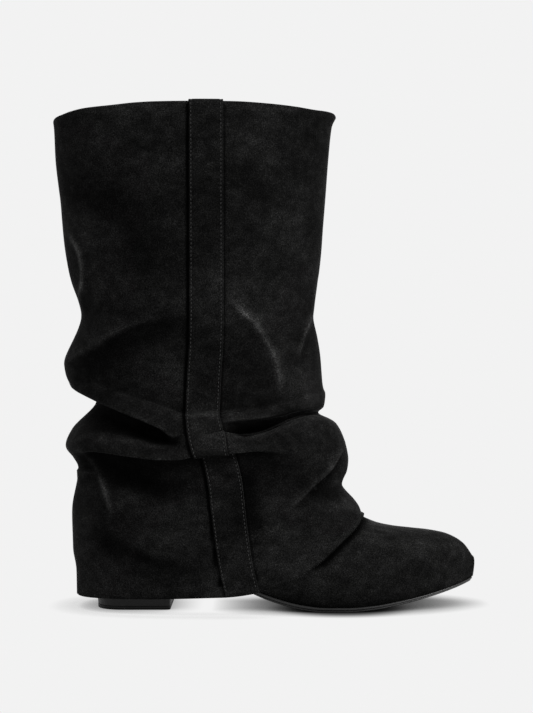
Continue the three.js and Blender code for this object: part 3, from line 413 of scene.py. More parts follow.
def fold_at(fold, x, z):
    """How far a side fold moves points out, by their signed distance to its route."""
    _, rise, dip, left, right, route = fold
    edge = FOLD_EDGE * min(left, right)
    route = np.array(route, float)
    samples = through(route, np.linspace(0, len(route) - 1, 6 * (len(route) - 1) + 1))
    reach = 3 * max(left, right)
    low, high = samples[:, :2].min(axis=0) - reach, samples[:, :2].max(axis=0) + reach
    inside = (x > low[0]) & (x < high[0]) & (z > low[1]) & (z < high[1])
    px, pz = x[inside], z[inside]
    nearest = np.full(px.shape, np.inf)
    side, strength = np.zeros_like(px), np.zeros_like(px)
    for a, b in zip(samples[:-1], samples[1:]):
        dx, dz = b[0] - a[0], b[1] - a[1]
        t = np.clip(((px - a[0]) * dx + (pz - a[1]) * dz) / (dx * dx + dz * dz), 0, 1)
        ex, ez = px - a[0] - t * dx, pz - a[1] - t * dz
        distance = np.hypot(ex, ez)
        closer = distance < nearest
        nearest = np.where(closer, distance, nearest)
        side = np.where(closer, dx * ez - dz * ex, side)
        strength = np.where(closer, a[2] + t * (b[2] - a[2]), strength)
    signed = np.where(side > 0, nearest, -nearest)
    on_left = ease((signed / edge + 1) / 2)
    move = on_left * rise * np.exp(-((nearest / left) ** 2)) - (1 - on_left) * dip * np.exp(-((nearest / right) ** 2))
    moved = np.zeros_like(x)
    moved[inside] = strength * move
    return moved


def line_at(rows, column, degrees):
    if len(rows) == 1:
        return np.full_like(degrees, rows[0][column])
    loop = [(row[0] + by, *row[1:]) for by in (-360, 0, 360) for row in rows]
    return along(loop, degrees, column)


def cuff_profiles(turn):
    """At each turn, the points out and up that the cuff's profile runs through."""
    degrees = np.degrees(turn)
    plain = [(0 * turn, 0 * turn + ROLL_CENTRE - share * (FACING_DEPTH + 4)) for share in (0, 0.5, 1)]
    lines = [
        (line_at(rows, 2, degrees) * FOLD_DEPTH, line_at(rows, 1, degrees) * BOOT_HEIGHT)
        for rows in CUFF_LINES.values()
    ]
    return np.array([*plain, *lines]).transpose(0, 2, 1)


SPANS = len(CUFF_LINES) + 2


def folded_cuff(turn, lines):
    """The folded cuff's outer face, a row for each place down the profile and a column for each turn, and how
    far the side folds move each point."""
    p = through(cuff_profiles(turn), lines)
    out, z = p[..., 0], p[..., 1]
    grid_turn = np.broadcast_to(turn, z.shape)
    bare = plain_cuff(grid_turn, z, out)
    on_side = ease((10 - bare[..., 1]) / 20)
    moved = on_side * sum(fold_at(fold, bare[..., 0], bare[..., 2]) for fold in SIDE_FOLDS)
    return plain_cuff(grid_turn, z, out + moved), moved


def leg_section(up, open_):
    z = ANKLE_HEIGHT + (LEG_TOP - ANKLE_HEIGHT) * up
    inset = -(CUFF_WALL + GAP)
    dip = INSTEP_HEIGHT * (1 - open_) ** 2
    back, front, side = (plain_cuff(np.array(t), np.array(z), inset) for t in (math.pi, 0, math.pi / 2))
    mix = lambda a, b: a + (b - a) * open_
    half = mix(ANKLE_WIDTH / 2, abs(side[1]))
    ankle = FOOT_SECTIONS[0]
    return (
        mix(FOOT_LENGTH * ankle[0], back[0]), z - 0.05 * dip,
        mix(FOOT_LENGTH * ankle[2], front[0]), z + 0.09 * dip,
        half, half, ROUND_LEG, ROUND_LEG,
    )


def foot_section(back, rise, front, top, lateral, medial):
    x = FOOT_LENGTH * back
    low = min(max(1.4 - (rise or 0), 0), 1)
    return (
        x, INSTEP_HEIGHT * rise if rise else float(sole_top(x)) - TUCK,
        FOOT_LENGTH * front, INSTEP_HEIGHT * top,
        BALL_WIDTH * lateral, BALL_WIDTH * medial,
        ROUND_LEG + (ROUND_INSTEP - ROUND_LEG) * low, ROUND_LEG + (ROUND_UNDERFOOT - ROUND_LEG) * low,
    )


UPPER_SECTIONS = np.array([leg_section(*row) for row in LEG_SECTIONS] + [foot_section(*row) for row in FOOT_SECTIONS])


def upper_rings(places, turn):
    """Rings of the upper at places from 0, under the facing, to 1, the toe tip."""
    n = len(UPPER_SECTIONS)
    at = np.asarray(places) * (n - 1)
    i = np.clip(at.astype(int), 0, n - 1)
    t = (at - i)[:, None]
    row = lambda k: UPPER_SECTIONS[np.clip(k, 0, n - 1)]
    p0, p1, p2, p3 = row(i - 1), row(i), row(i + 1), row(i + 2)
    v0, v1 = (p2 - p0) / 2, (p3 - p1) / 2
    s = (2 * p1 - 2 * p2 + v0 + v1) * t**3 + (-3 * p1 + 3 * p2 - 2 * v0 - v1) * t**2 + v0 * t + p1
    bx, bz, fx, fz, lateral, medial, over, under = (s[:, k : k + 1] for k in range(8))
    side = np.where(np.sin(turn) > 0, lateral, medial)
    x, y, _, _ = oval(turn, 1, side, np.where(np.cos(turn) > 0, over, under))
    return np.stack([(bx + fx) / 2 + (fx - bx) / 2 * x, y, (bz + fz) / 2 + (fz - bz) / 2 * x], axis=-1)


def normals(grid):
    """Outward normals of a grid of rings that close round."""
    round_ = np.roll(grid, -1, axis=1) - np.roll(grid, 1, axis=1)
    down = np.gradient(grid, axis=0)
    n = np.cross(round_, down)
    return n / np.maximum(np.linalg.norm(n, axis=-1, keepdims=True), 1e-9)


# The frame's place of the boot's own zero: the heel tip's back and middle.
tip_low, tip_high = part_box("heel_tip")
ZERO = np.array([tip_low.x * 1000 - HEEL_SETBACK, (tip_low.y + tip_high.y) * 500, 0])


def place(points):
    return (np.asarray(points, float) + ZERO) / 1000


def mesh_of(name, points, faces, material, smooth=True):
    mesh = bpy.data.meshes.new(name)
    mesh.from_pydata(place(points).reshape(-1, 3).tolist(), [], faces)
    mesh.validate()
    mesh.materials.append(material)
    if smooth:
        mesh.shade_smooth()
    piece = bpy.data.objects.new(name, mesh)
    bpy.context.scene.collection.objects.link(piece)
    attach(piece, "root")
    return piece


def ring_faces(rows, turns, start=0, closed_rows=False):
    faces = []
    for r in range(rows if closed_rows else rows - 1):
        a, b = start + r * turns, start + ((r + 1) % rows) * turns
        faces += [(a + i, b + i, b + (i + 1) % turns, a + (i + 1) % turns) for i in range(turns)]
    return faces


def strip_faces(rows, columns):
    return [
        (r * columns + c, (r + 1) * columns + c, (r + 1) * columns + c + 1, r * columns + c + 1)
        for r in range(rows - 1)
        for c in range(columns - 1)
    ]


# Materials. Shares are in doublings of the suede's lightness.
NAP_TURN = (0.3, 0.5, 0.4)
NAP_STRETCH = (0.8, 1, 1.2)
# Painted top light: the suede's colour is lighter where it faces this direction, mostly up, and darker where it faces
# away.
TOP_LIGHT_DIRECTION = (-0.25, -0.1, 0.9)
CLOUD_SHARE = 0.78
BRUSH_SHARE = 0.55
NAP_SHARE = 1.5
PAINTED_LIGHT_SHARE = 1.6
# Painted light and shade from the form: ridges lighter, as rubbed nap and highlight, broad rises a little lighter, and
# hollows painted dark as shade.
RIDGE_SMOOTHING, RIDGE_HEIGHT = 8, 0.9  # rounds of smoothing, and the height in mm that counts as full
FORM_SMOOTHING, FORM_HEIGHT = 80, 3
RIDGE_SHARE, RISE_SHARE, DIP_SHARE = 0.42, 0.08, 0.6
FOLD_LIGHT_SHARE = 0.28  # painted light for each mm that a side fold moves the cloth out, and painted shade for each mm it moves it in
TOP_LIGHT_SHARE = 0.75
SHEEN = 0.02
RIM_HIGHLIGHT_SHARE = 1.6  # painted rim highlight where the nap is seen edge on
RIM_FROM_FACING = 0.7


def new_material(name):
    material = bpy.data.materials.new(name)
    material.use_nodes = True
    nodes, links = material.node_tree.nodes, material.node_tree.links
    return material, nodes, links, nodes["Principled BSDF"]


def noise(nodes, links, coords, scale, detail=4, rough=0.6):
    node = nodes.new("ShaderNodeTexNoise")
    node.inputs["Scale"].default_value = scale
    node.inputs["Detail"].default_value = detail
    node.inputs["Roughness"].default_value = rough
    links.new(coords, node.inputs["Vector"])
    return node.outputs["Fac"]


def math_node(nodes, links, operation, a, b):
    node = nodes.new("ShaderNodeMath")
    node.operation = operation
    for socket, value in zip(node.inputs, (a, b)):
        if isinstance(value, (int, float)):
            socket.default_value = value
        else:
            links.new(value, socket)
    return node.outputs[0]


def vector_node(nodes, links, operation, a, b, output="Vector"):
    node = nodes.new("ShaderNodeVectorMath")
    node.operation = operation
    links.new(a, node.inputs[0])
    if b is not None:
        node.inputs[1].default_value = b
    return node.outputs[output]


def map_range(nodes, links, value, source, target):
    node = nodes.new("ShaderNodeMapRange")
    node.interpolation_type = "SMOOTHSTEP"
    for name, limit in zip(("From Min", "From Max", "To Min", "To Max"), (*source, *target)):
        node.inputs[name].default_value = limit
    links.new(value, node.inputs["Value"])
    return node.outputs[0]


def ramp(nodes, links, value, stops):
    node = nodes.new("ShaderNodeValToRGB")
    while len(node.color_ramp.elements) < len(stops):
        node.color_ramp.elements.new(0.5)
    for element, (position, colour) in zip(node.color_ramp.elements, stops):
        element.position = position
        element.color = (*colour, 1)
    links.new(value, node.inputs[0])
    return node.outputs[0]


def bump(nodes, links, shader, height, distance, strength):
    node = nodes.new("ShaderNodeBump")
    node.inputs["Distance"].default_value = distance
    node.inputs["Strength"].default_value = strength
    links.new(height, node.inputs["Height"])
    links.new(node.outputs[0], shader.inputs["Normal"])


def suede_material(name, colour):
    """Brushed suede: a short nap in cloudy patches, with painted light and shade from the crest attribute, painted top
    light and a painted rim highlight.
    """
    material, nodes, links, shader = new_material(name)
    coords = nodes.new("ShaderNodeTexCoord").outputs["Object"]
    stretched = nodes.new("ShaderNodeMapping")
    stretched.inputs["Rotation"].default_value = NAP_TURN
    stretched.inputs["Scale"].default_value = NAP_STRETCH
    links.new(coords, stretched.inputs["Vector"])
    clouds = noise(nodes, links, stretched.outputs[0], 30, 4, 0.6)
    brush = noise(nodes, links, stretched.outputs[0], 170, 3, 0.5)
    nap = noise(nodes, links, coords, 1500, 1, 0.6)
    # The crest attribute holds painted light and shade: highlights on ridges, shade in hollows and folds, and shadow
    # along the hem and the band.
    crest = nodes.new("ShaderNodeAttribute")
    crest.attribute_name = "crest"
    # Painted top light: lighter where the surface faces up, darker where it faces down.
    normal = nodes.new("ShaderNodeNewGeometry").outputs["Normal"]
    top_light = nodes.new("ShaderNodeVectorMath")
    top_light.operation = "DOT_PRODUCT"
    links.new(normal, top_light.inputs[0])
    top_light.inputs[1].default_value = TOP_LIGHT_DIRECTION
    shade = 0
    for value, low, high, share in (
        (clouds, 0.3, 0.7, CLOUD_SHARE),
        (brush, 0.3, 0.7, BRUSH_SHARE),
        (nap, 0.25, 0.75, NAP_SHARE),
        (crest.outputs["Fac"], 0, 1, PAINTED_LIGHT_SHARE),
        (top_light.outputs["Value"], -1, 1, TOP_LIGHT_SHARE),
    ):
        spread = nodes.new("ShaderNodeMapRange")
        spread.inputs["From Min"].default_value = low
        spread.inputs["From Max"].default_value = high
        spread.inputs["To Min"].default_value = -share
        spread.inputs["To Max"].default_value = share
        spread.clamp = False
        links.new(value, spread.inputs["Value"])
        shade = math_node(nodes, links, "ADD", spread.outputs[0], shade)
    # Painted rim highlight where the surface is seen edge on.
    edge_on = nodes.new("ShaderNodeLayerWeight").outputs["Facing"]
    rim = map_range(nodes, links, edge_on, (RIM_FROM_FACING, 1), (0, RIM_HIGHLIGHT_SHARE))
    tone = math_node(nodes, links, "POWER", 2, math_node(nodes, links, "ADD", shade, rim))
    mix = nodes.new("ShaderNodeVectorMath")
    mix.operation = "SCALE"
    mix.inputs[0].default_value = colour
    links.new(tone, mix.inputs["Scale"])
    links.new(mix.outputs[0], shader.inputs["Base Color"])
    shader.inputs["Roughness"].default_value = 0.9
    shader.inputs["Specular IOR Level"].default_value = 0.02
    shader.inputs["Sheen Weight"].default_value = SHEEN
    shader.inputs["Sheen Roughness"].default_value = 0.2
    height = math_node(nodes, links, "ADD", math_node(nodes, links, "MULTIPLY", brush, 0.5), nap)
    bump(nodes, links, shader, height, 0.0006, 0.5)
    return material


def plain_material(name, colour, roughness, grain, depth, specular=0.5):
    material, nodes, links, shader = new_material(name)
    coords = nodes.new("ShaderNodeTexCoord").outputs["Object"]
    fine = noise(nodes, links, coords, grain, 3, 0.6)
    tone = [c * 0.75 for c in colour], [c * 1.25 for c in colour]
    links.new(ramp(nodes, links, fine, [(0.3, tone[0]), (0.7, tone[1])]), shader.inputs["Base Color"])
    shader.inputs["Roughness"].default_value = roughness
    shader.inputs["Specular IOR Level"].default_value = specular
    bump(nodes, links, shader, fine, depth, 0.5)
    return material


def paint_shade_at_foot(material, height):
    """Paints shade into a material's colour below a height above the floor."""
    nodes, links = material.node_tree.nodes, material.node_tree.links
    shader = nodes["Principled BSDF"]
    up = nodes.new("ShaderNodeSeparateXYZ")
    links.new(nodes.new("ShaderNodeTexCoord").outputs["Object"], up.inputs[0])
    share = map_range(nodes, links, up.outputs["Z"], (0.7 * height / 1000, 1.3 * height / 1000), (0.2, 1))
    colour = vector_node(nodes, links, "SCALE", shader.inputs["Base Color"].links[0].from_socket, None)
    links.new(share, colour.node.inputs["Scale"])
    links.new(colour, shader.inputs["Base Color"])


TIP_SHADE_BELOW = 1.1  # mm above the floor, below which the heel's top piece is painted dark as the shade where it meets the floor
SUEDE = suede_material("suede", (0.0152, 0.0152, 0.015))
FOOT_SUEDE = suede_material("foot_suede", (0.019, 0.019, 0.0187))
BAND_SUEDE = suede_material("band_suede", (0.0148, 0.0148, 0.0146))
THREAD = plain_material("thread", (0.009, 0.009, 0.0087), 0.7, 3000, 0.0001)
RUBBER = plain_material("sole_rubber", (0.005, 0.005, 0.005), 0.6, 900, 0.0002, 0.12)
WELT = plain_material("welt", (0.018, 0.018, 0.018), 0.4, 900, 0.0001, 0.3)
HEEL_TIP_RUBBER = plain_material("heel_tip_rubber", (0.013, 0.013, 0.013), 0.6, 700, 0.0002, 0.15)
paint_shade_at_foot(HEEL_TIP_RUBBER, TIP_SHADE_BELOW)
HEEL_COVER = plain_material("heel_cover", (0.012, 0.012, 0.012), 0.5, 400, 0.0001, 0.2)
LINING = plain_material("lining", (0.02, 0.0195, 0.019), 0.85, 1400, 0.0003, 0.2)


def standing_out(grid, rounds, full):
    """How far each point of a grid stands out from its smoothed self, where 1 is the full height."""
    smooth = grid.copy()
    for _ in range(rounds):
        rows = smooth.copy()
        rows[1:-1] = (smooth[:-2] + smooth[2:]) / 2
        smooth = ((np.roll(smooth, 1, axis=1) + np.roll(smooth, -1, axis=1)) / 2 + rows) / 2
    return np.clip(np.sum((grid - smooth) * normals(grid), axis=-1) / full, -1, 1)


def painted_relief(grid):
    """Painted light and shade of a grid: its ridges painted lighter, as rubbed nap and highlight, its broad rises a
    little lighter and its hollows painted dark as shade.
    """
    ridge = np.maximum(standing_out(grid, RIDGE_SMOOTHING, RIDGE_HEIGHT), 0)
    form = standing_out(grid, FORM_SMOOTHING, FORM_HEIGHT)
    return RIDGE_SHARE * ridge**1.5 + form * np.where(form > 0, RISE_SHARE, DIP_SHARE)


def store_painted_light(piece, values):
    """Stores the painted light and shade of each point, which its material reads."""
    attribute = piece.data.attributes.new("crest", "FLOAT", "POINT")
    attribute.data.foreach_set("value", values.ravel().astype(np.float32))


# The upper: foot and inner leg, its outer face, its lining and its feather edge on the sole.
TURNS = 200
TOE_BULGE = 2.6
turn = np.linspace(0, 2 * math.pi, TURNS, endpoint=False)
places = np.linspace(0, 1, 220)
leg_rows = [plain_cuff(turn, np.full(TURNS, ROLL_CENTRE - d), -(CUFF_WALL + GAP)) for d in (0, 9, 18)]
outer = np.concatenate([leg_rows, upper_rings(places, turn)])
inner = outer - UPPER_WALL * normals(outer)


def on_sole(grid, lift):
    """Rests what would pass through the sole on top of it."""
    flat = grid.copy()
    flat[..., 2] = np.maximum(grid[..., 2], sole_top(grid[..., 0]) + lift)
    return flat


hub = outer[-1].mean(axis=0)
forward = np.array([TOE_BULGE, 0, 0])
cap = [hub + (outer[-1] - hub) * math.cos(a) + forward * math.sin(a) for a in np.radians([12, 28, 45, 60, 75])]
skin = on_sole(np.concatenate([outer, cap]), 0.05)
points = np.concatenate([skin.reshape(-1, 3), (hub + forward)[None]])
last = (len(skin) - 1) * TURNS
faces = ring_faces(len(skin), TURNS)
faces += [(last + i, len(points) - 1, last + (i + 1) % TURNS) for i in range(TURNS)]
points_of_upper = points
upper = mesh_of("upper_suede", points, faces, FOOT_SUEDE)
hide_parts("upper")

inner = on_sole(inner[:-6], 0.4)
points = np.concatenate([inner.reshape(-1, 3), inner[-1].mean(axis=0)[None]])
last = (len(inner) - 1) * TURNS
faces = [f[::-1] for f in ring_faces(len(inner), TURNS)]
faces += [(last + (i + 1) % TURNS, len(points) - 1, last + i) for i in range(TURNS)]
lining = mesh_of("lining", points, faces, LINING)

# The cuff: facing, turned edge, folded tube and its inner face, one wall.
CUFF_TURNS = 400
LATERAL_CROWDING = 0.45
CALF_SPACING, FOLD_SPACING = 2.5, 1.3
PLAIN_ROWS = 9  # rows at the turned edge and at the hem without painted light and shade
HEM_ROWS, HEM_EDGE_SHADE = 4, -0.8  # the hem's last rows, painted dark as the shade under the hem and as its dark cut edge
HEM_SHADE, HEM_SHADE_WIDTH = -1.8, 2.6  # painted shadow on the foot where the hem rests on it, and how wide in mm
even = np.linspace(0, 2 * math.pi, CUFF_TURNS, endpoint=False)
cuff_turn = even - LATERAL_CROWDING * (1 - np.cos(even))
rough = through(cuff_profiles(cuff_turn[::40]), np.arange(SPANS + 1).astype(float))
span_lengths = np.linalg.norm(np.diff(rough, axis=0), axis=-1).mean(axis=1)
lines = []
for span, length in enumerate(span_lengths):
    spacing = CALF_SPACING if span < 4 else FOLD_SPACING
    lines += list(span + np.linspace(0, 1, max(5, round(length / spacing)), endpoint=False))
lines = np.array(lines + [SPANS])
cuff_face, moved = folded_cuff(cuff_turn, lines)

foot = upper_rings(np.linspace(0.35, 1, 160), np.linspace(0, 2 * math.pi, 160, endpoint=False))
foot_normals = normals(foot).reshape(-1, 3)
foot = foot.reshape(-1, 3)
tree = KDTree(len(foot))
for k, point in enumerate(foot):
    tree.insert(point, k)
tree.balance()


def over_foot(grid, clearance):
    """Moves points that are too near the foot out along its normal."""
    draped = grid.copy()
    for index in np.argwhere(grid[..., 2] < INSTEP_HEIGHT):
        point = grid[tuple(index)]
        near, k, _ = tree.find(point)
        height = float(np.dot(point - np.array(near), foot_normals[k]))
        if height < clearance:
            draped[tuple(index)] = point + foot_normals[k] * (clearance - height)
    return draped


cuff_face = over_foot(cuff_face, CUFF_WALL + GAP + 0.5)
cuff_back = cuff_face - CUFF_WALL * normals(cuff_face)


def collar_arc(radius, steps):
    rings = []
    for k in range(steps):
        angle = math.pi * (1 - (k + 1) / (steps + 1))
        ring = plain_cuff(cuff_turn, np.full(CUFF_TURNS, ROLL_CENTRE), radius * math.cos(angle) - COLLAR_ROLL / 2)
        ring[:, 2] += radius * math.sin(angle)
        rings.append(ring)
    return rings


hem = KDTree(CUFF_TURNS)
for k, point in enumerate(cuff_back[-1]):
    hem.insert(point, k)
hem.balance()
# Painted shadow on the foot's nap along the cuff's hem.
to_hem = np.array([hem.find(point)[2] for point in points_of_upper])
store_painted_light(upper, HEM_SHADE * np.exp(-((to_hem / HEM_SHADE_WIDTH) ** 2)))

HALF_BAND = BAND_WIDTH / 2
BESIDE_BAND = HALF_BAND + 0.6  # from the band's middle line to where the shadow of its edges is painted on the cuff
BACK_SHADE, FRONT_SHADE = -1.2, -0.5
SHADE_WIDTH = 0.7


def band_middle(lines):
    """The x of the band's middle line at places down the cuff's profile."""
    return COLLAR_LENGTH * along(BAND_LINE, lines) - COLLAR_OVERHANG


def strokes_at(grid):
    """The painted light and shade of the strokes on the outer side, in shares of full."""
    return (grid[..., 1] < 0) * sum(fold_at(stroke, grid[..., 0], grid[..., 2]) for stroke in PAINTED_STROKES)


middle_edge = (cuff_face[-1] + cuff_back[-1]) / 2
middle_edge[:, 2] -= 0.45 * CUFF_WALL
arc = collar_arc(COLLAR_ROLL / 2, 9)
rings = np.array([*arc, *cuff_face, middle_edge, *cuff_back[:-4:-1]])
cuff = mesh_of("cuff_suede", rings, ring_faces(len(rings), CUFF_TURNS), SUEDE)
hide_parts("cuff")
painted_light = painted_relief(rings)
# Painted shadow on the cuff beside the band's edges, darker behind it than in front.
from_band = cuff_face[..., 0] - band_middle(lines)[:, None]
beside = [np.exp(-(((from_band + by) / SHADE_WIDTH) ** 2)) for by in (BESIDE_BAND, -BESIDE_BAND)]
shade = (BACK_SHADE * beside[0] + FRONT_SHADE * beside[1]) * (cuff_face[..., 1] < 0)
# Painted light and shade from the folds, the strokes and the band's edges.
painted_light[len(arc) : len(arc) + len(moved)] += FOLD_LIGHT_SHARE * moved + strokes_at(cuff_face) + shade
painted_light[:PLAIN_ROWS] = 0
painted_light[-PLAIN_ROWS:] = 0
painted_light[-HEM_ROWS:] = HEM_EDGE_SHADE
store_painted_light(cuff, painted_light)

facing = [
    plain_cuff(cuff_turn, np.full(CUFF_TURNS, ROLL_CENTRE - depth), -COLLAR_ROLL)
    for depth in np.linspace(0, FACING_DEPTH, 6)
]
for name, rows in (("collar_facing", [arc[0], *facing]), ("cuff_inside", cuff_back[-3::-4])):
    grid = np.array(rows)[:, ::2]
    faces = [face[::-1] for face in ring_faces(len(grid), grid.shape[1])]
    inside = mesh_of(name, grid, faces, SUEDE)

# The band: a strip on the cuff's outer side, found by its place along the boot on each row.
side = (cuff_turn > 0.3 * math.pi) & (cuff_turn < 0.72 * math.pi)
band_rows = np.concatenate([arc[4:], cuff_face])
band_places = np.concatenate([np.full(len(arc) - 4, -1.0), lines])
band_normals = normals(band_rows)
band_middles = band_middle(band_places)


def on_band(u, lift):
    """Points of the cuff's side at u millimetres from the band's middle line, lifted off it."""
    rows = []
    for row, normal, middle in zip(band_rows[:, side], band_normals[:, side], band_middles):
        order = np.argsort(row[:, 0])
        point = np.array([np.interp(middle + u, row[order, 0], row[order, k]) for k in range(3)])
        direction = np.array([np.interp(middle + u, row[order, 0], normal[order, k]) for k in range(3)])
        rows.append(point + direction / np.linalg.norm(direction) * lift)
    return np.array(rows)


BAND_EDGE_COLUMNS = 3
BACK_EDGE_SHADE, FRONT_EDGE_LIGHT = -1, 0.2  # painted shade on the band's back edge and painted highlight on its front edge
STITCH_INSET = 1.5
half_section = [
    (HALF_BAND, 0), (HALF_BAND, 0.55), (HALF_BAND - 0.25, 0.92), (HALF_BAND - 0.7, 1),
    (HALF_BAND - STITCH_INSET, 0.86), (HALF_BAND - 2.3, 1.02), (HALF_BAND - 4.5, 1.05), (2.5, 1.05),
]
section = [(-u, h) for u, h in half_section] + [(u, h) for u, h in reversed(half_section)]
strip = np.array([on_band(u, h * BAND_THICKNESS + 0.02) for u, h in section]).transpose(1, 0, 2)
band = mesh_of("side_band_suede", strip, strip_faces(*strip.shape[:2]), BAND_SUEDE)
# The band's painted light and shade, from its folds and strokes.
painted_light = FOLD_LIGHT_SHARE * sum(fold_at(fold, strip[..., 0], strip[..., 2]) for fold in SIDE_FOLDS) + strokes_at(strip)
painted_light[:, :BAND_EDGE_COLUMNS] = BACK_EDGE_SHADE
painted_light[:, -BAND_EDGE_COLUMNS:] = FRONT_EDGE_LIGHT
store_painted_light(band, painted_light)
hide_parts("side_band")


def stitch_run(path, lifts, pitch, length, width):
    """Small rounded stitches end to end along a path."""
    steps = np.linalg.norm(np.diff(path, axis=0), axis=1)
    distance = np.concatenate([[0], np.cumsum(steps)])
    points, faces = [], []
    for start in np.arange(pitch, distance[-1] - pitch, pitch):
        ends = [
            np.array([np.interp(start + s * length / 2, distance, path[:, k]) for k in range(3)]) for s in (-1, 1)
        ]
        lift = np.array([np.interp(start, distance, lifts[:, k]) for k in range(3)])
        axis = (ends[1] - ends[0]) / np.linalg.norm(ends[1] - ends[0])
        across = np.cross(axis, lift)
        across /= np.linalg.norm(across)
        up = np.cross(across, axis)
        base = len(points)
        for share, size, rise in ((0, 0.35, -0.25), (0.12, 0.85, 0.1), (0.5, 1, 0.3), (0.88, 0.85, 0.1), (1, 0.35, -0.25)):
            centre = ends[0] + (ends[1] - ends[0]) * share + up * rise * width
            for k in range(6):
                angle = k * math.pi / 3
                points.append(centre + width / 2 * size * (math.cos(angle) * across + math.sin(angle) * up))
        for ring in range(4):
            for k in range(6):
                a, b = base + ring * 6 + k, base + ring * 6 + (k + 1) % 6
                faces.append((a, b, b + 6, a + 6))
        faces += [tuple(base + k for k in range(5, -1, -1)), tuple(base + 24 + k for k in range(6))]
    return points, faces


stitch_points, stitch_faces = [], []
for side_sign in (-1, 1):
    u = side_sign * (HALF_BAND - STITCH_INSET)
    path = on_band(u, 0.86 * BAND_THICKNESS)
    lifts = on_band(u, 2 * BAND_THICKNESS) - path
    points, faces = stitch_run(path, lifts, 2.35, 1.45, 0.48)
    offset = len(stitch_points)
    stitch_points += points
    stitch_faces += [tuple(k + offset for k in face) for face in faces]
stitches = mesh_of("band_stitches", stitch_points, stitch_faces, THREAD)


# The sole: its outline is where the upper meets the sole's top.
def footprint(form, lift, grow, count):
    turns = 192
    around = np.linspace(0, 2 * math.pi, turns, endpoint=False)
    rings = form(np.linspace(0.3, 1, 500), around)
    sides = []
    for direction in (1, -1):
        order = (turns // 2 + direction * np.arange(turns // 2 + 1)) % turns
        chain = rings[:, order]
        height = chain[..., 2] - sole_top(chain[..., 0]) - lift
        found = []
        for ring, h in zip(chain, height):
            above = np.argmax(h > 0)
            if h[0] > 0 or above == 0:
                continue
            t = h[above - 1] / (h[above - 1] - h[above])
            found.append(ring[above - 1, :2] * (1 - t) + ring[above, :2] * t)
        sides.append(np.array(found))
    loop = np.concatenate([sides[0], sides[1][::-1]])
    return grown(evenly(loop, count), grow)


def evenly(loop, count):
    closed = np.concatenate([loop, loop[:1]])
    distance = np.concatenate([[0], np.cumsum(np.linalg.norm(np.diff(closed, axis=0), axis=1))])
    at = np.linspace(0, distance[-1], count, endpoint=False)
    return np.stack([np.interp(at, distance, closed[:, k]) for k in range(2)], axis=1)


def grown(outline, by):
    tangent = np.roll(outline, -1, axis=0) - np.roll(outline, 1, axis=0)
    tangent /= np.linalg.norm(tangent, axis=1, keepdims=True)
    x, y = outline.T
    turning = np.sign(np.sum(x * np.roll(y, -1) - y * np.roll(x, -1)))
    return outline + turning * by * np.stack([tangent[:, 1], -tangent[:, 0]], axis=1)


SOLE_POINTS = 360
feather = footprint(upper_rings, 0, 0, SOLE_POINTS)


def slab(name, levels, material, edge, first_edge, last_edge):
    """A slab that follows the sole: rings of growth and share of the sole's depth, closed top and bottom, with
    the rings from first_edge to last_edge in the edge's own material."""
    rings = []
    for grow, share in levels:
        ring = grown(feather, grow)
        z = sole_underside(ring[:, 0]) + share * sole_depth(ring[:, 0])
        rings.append(np.column_stack([ring, z]))
    n = SOLE_POINTS
    faces = ring_faces(len(rings), n)
    for base, turned in ((0, True), ((len(rings) - 1) * n, False)):
        for i in range(n // 2 - 1):
            quad = (base + i, base + i + 1, base + n - 2 - i, base + n - 1 - i)
            faces.append(quad[::-1] if turned else quad)
    piece = mesh_of(name, np.array(rings), faces, material)
    piece.data.materials.append(edge)
    for face in piece.data.polygons[first_edge * n : last_edge * n]:
        face.material_index = 1
    return piece


outsole = slab(
    "outsole_rubber",
    [
        (SOLE_MARGIN - SOLE_STEP - 1.2, 0),
        (SOLE_MARGIN - SOLE_STEP - 0.3, 0.03),
        (SOLE_MARGIN - SOLE_STEP, 0.12),
        (SOLE_MARGIN - SOLE_STEP, 0.42),
        (SOLE_MARGIN - SOLE_STEP - 0.2, 0.45),
        (SOLE_MARGIN - SOLE_STEP - 0.2, 0.5),
        (SOLE_MARGIN - 0.15, 0.52),
        (SOLE_MARGIN, 0.6),
        (SOLE_MARGIN, 0.9),
        (SOLE_MARGIN - 0.3, 1),
        (SOLE_MARGIN - 2.5, 1),
    ],
    RUBBER,
    WELT,
    2,
    9,
)
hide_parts("outsole")

# The CAD's own heel, top piece and insole stay, with their looks.
for node, material in (("heel_block", HEEL_COVER), ("heel_tip", HEEL_TIP_RUBBER), ("insole", LINING)):
    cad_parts[node].data.materials.clear()
    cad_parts[node].data.materials.append(material)

# Floor, backdrop, light and camera.
room, nodes, links, shader = new_material("room")
shader.inputs["Base Color"].default_value = (0, 0, 0, 1)
shader.inputs["Roughness"].default_value = 1
shader.inputs["Specular IOR Level"].default_value = 0
shader.inputs["Emission Strength"].default_value = FLOOR_LIGHT
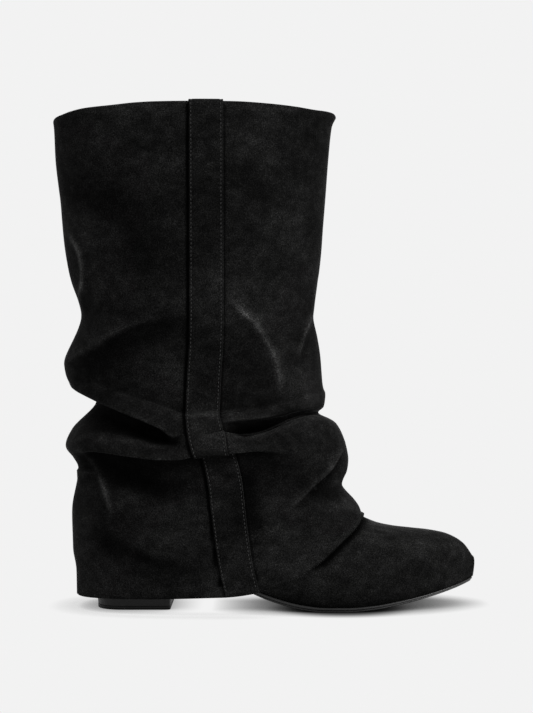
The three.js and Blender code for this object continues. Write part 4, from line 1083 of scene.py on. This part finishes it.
# The floor glows evenly. Its contact shadow, from ambient occlusion, and the shade round the ball are painted shadow
# in that glow.
contact = nodes.new("ShaderNodeAmbientOcclusion")
contact.inputs["Distance"].default_value = SHADOW_REACH / 1000
from_ball = vector_node(nodes, links, "SUBTRACT", nodes.new("ShaderNodeTexCoord").outputs["Object"], place(BALL_SHADE))
in_radii = vector_node(nodes, links, "MULTIPLY", from_ball, [1000 / radius for radius in BALL_SHADE_RADII])
away = vector_node(nodes, links, "LENGTH", in_radii, (0, 0, 0), "Value")
shade = map_range(nodes, links, away, BALL_SHADE_FADE, (BALL_SHADE_LIGHT, 1))
lit = vector_node(nodes, links, "SCALE", contact.outputs["Color"], None)
links.new(shade, lit.node.inputs["Scale"])
links.new(lit, shader.inputs["Emission Color"])
sweep = [(-4000, 0)] + [
    (1500 + 2500 * math.sin(a), 2500 - 2500 * math.cos(a)) for a in np.linspace(0, math.pi / 2, 40)
] + [(4000, 9000)]
profile = np.array([[(x, y, z) for y, z in sweep] for x in (-20000, 20000)], float)
floor = mesh_of("floor", profile.transpose(1, 0, 2), strip_faces(len(sweep), 2), room)

world = bpy.data.worlds.new("studio")
bpy.context.scene.world = world
world.use_nodes = True
world.node_tree.nodes["Background"].inputs[0].default_value = (1, 1, 1, 1)
world.node_tree.nodes["Background"].inputs[1].default_value = WORLD_LIGHT


def sun(name, towards, power, spread):
    data = bpy.data.lights.new(name, "SUN")
    data.energy = power
    data.angle = math.radians(spread)
    lamp = bpy.data.objects.new(name, data)
    lamp.rotation_euler = Vector(towards).to_track_quat("Z", "Y").to_euler()
    bpy.context.scene.collection.objects.link(lamp)


for name, towards, power, spread in SUNS:
    sun(name, towards, power, spread)

camera_data = bpy.data.cameras.new("camera")
camera_data.sensor_width = SENSOR
camera_data.sensor_height = SENSOR
camera_data.lens = SENSOR * CAMERA_DISTANCE / FRAME_HEIGHT
camera_data.clip_end = 20
camera = bpy.data.objects.new("camera", camera_data)
camera.location = place([CAMERA_X, -CAMERA_DISTANCE, CAMERA_HEIGHT])
camera.rotation_euler = (math.pi / 2, 0, 0)
bpy.context.scene.collection.objects.link(camera)
bpy.context.scene.camera = camera
bpy.context.scene.view_settings.view_transform = "Standard"
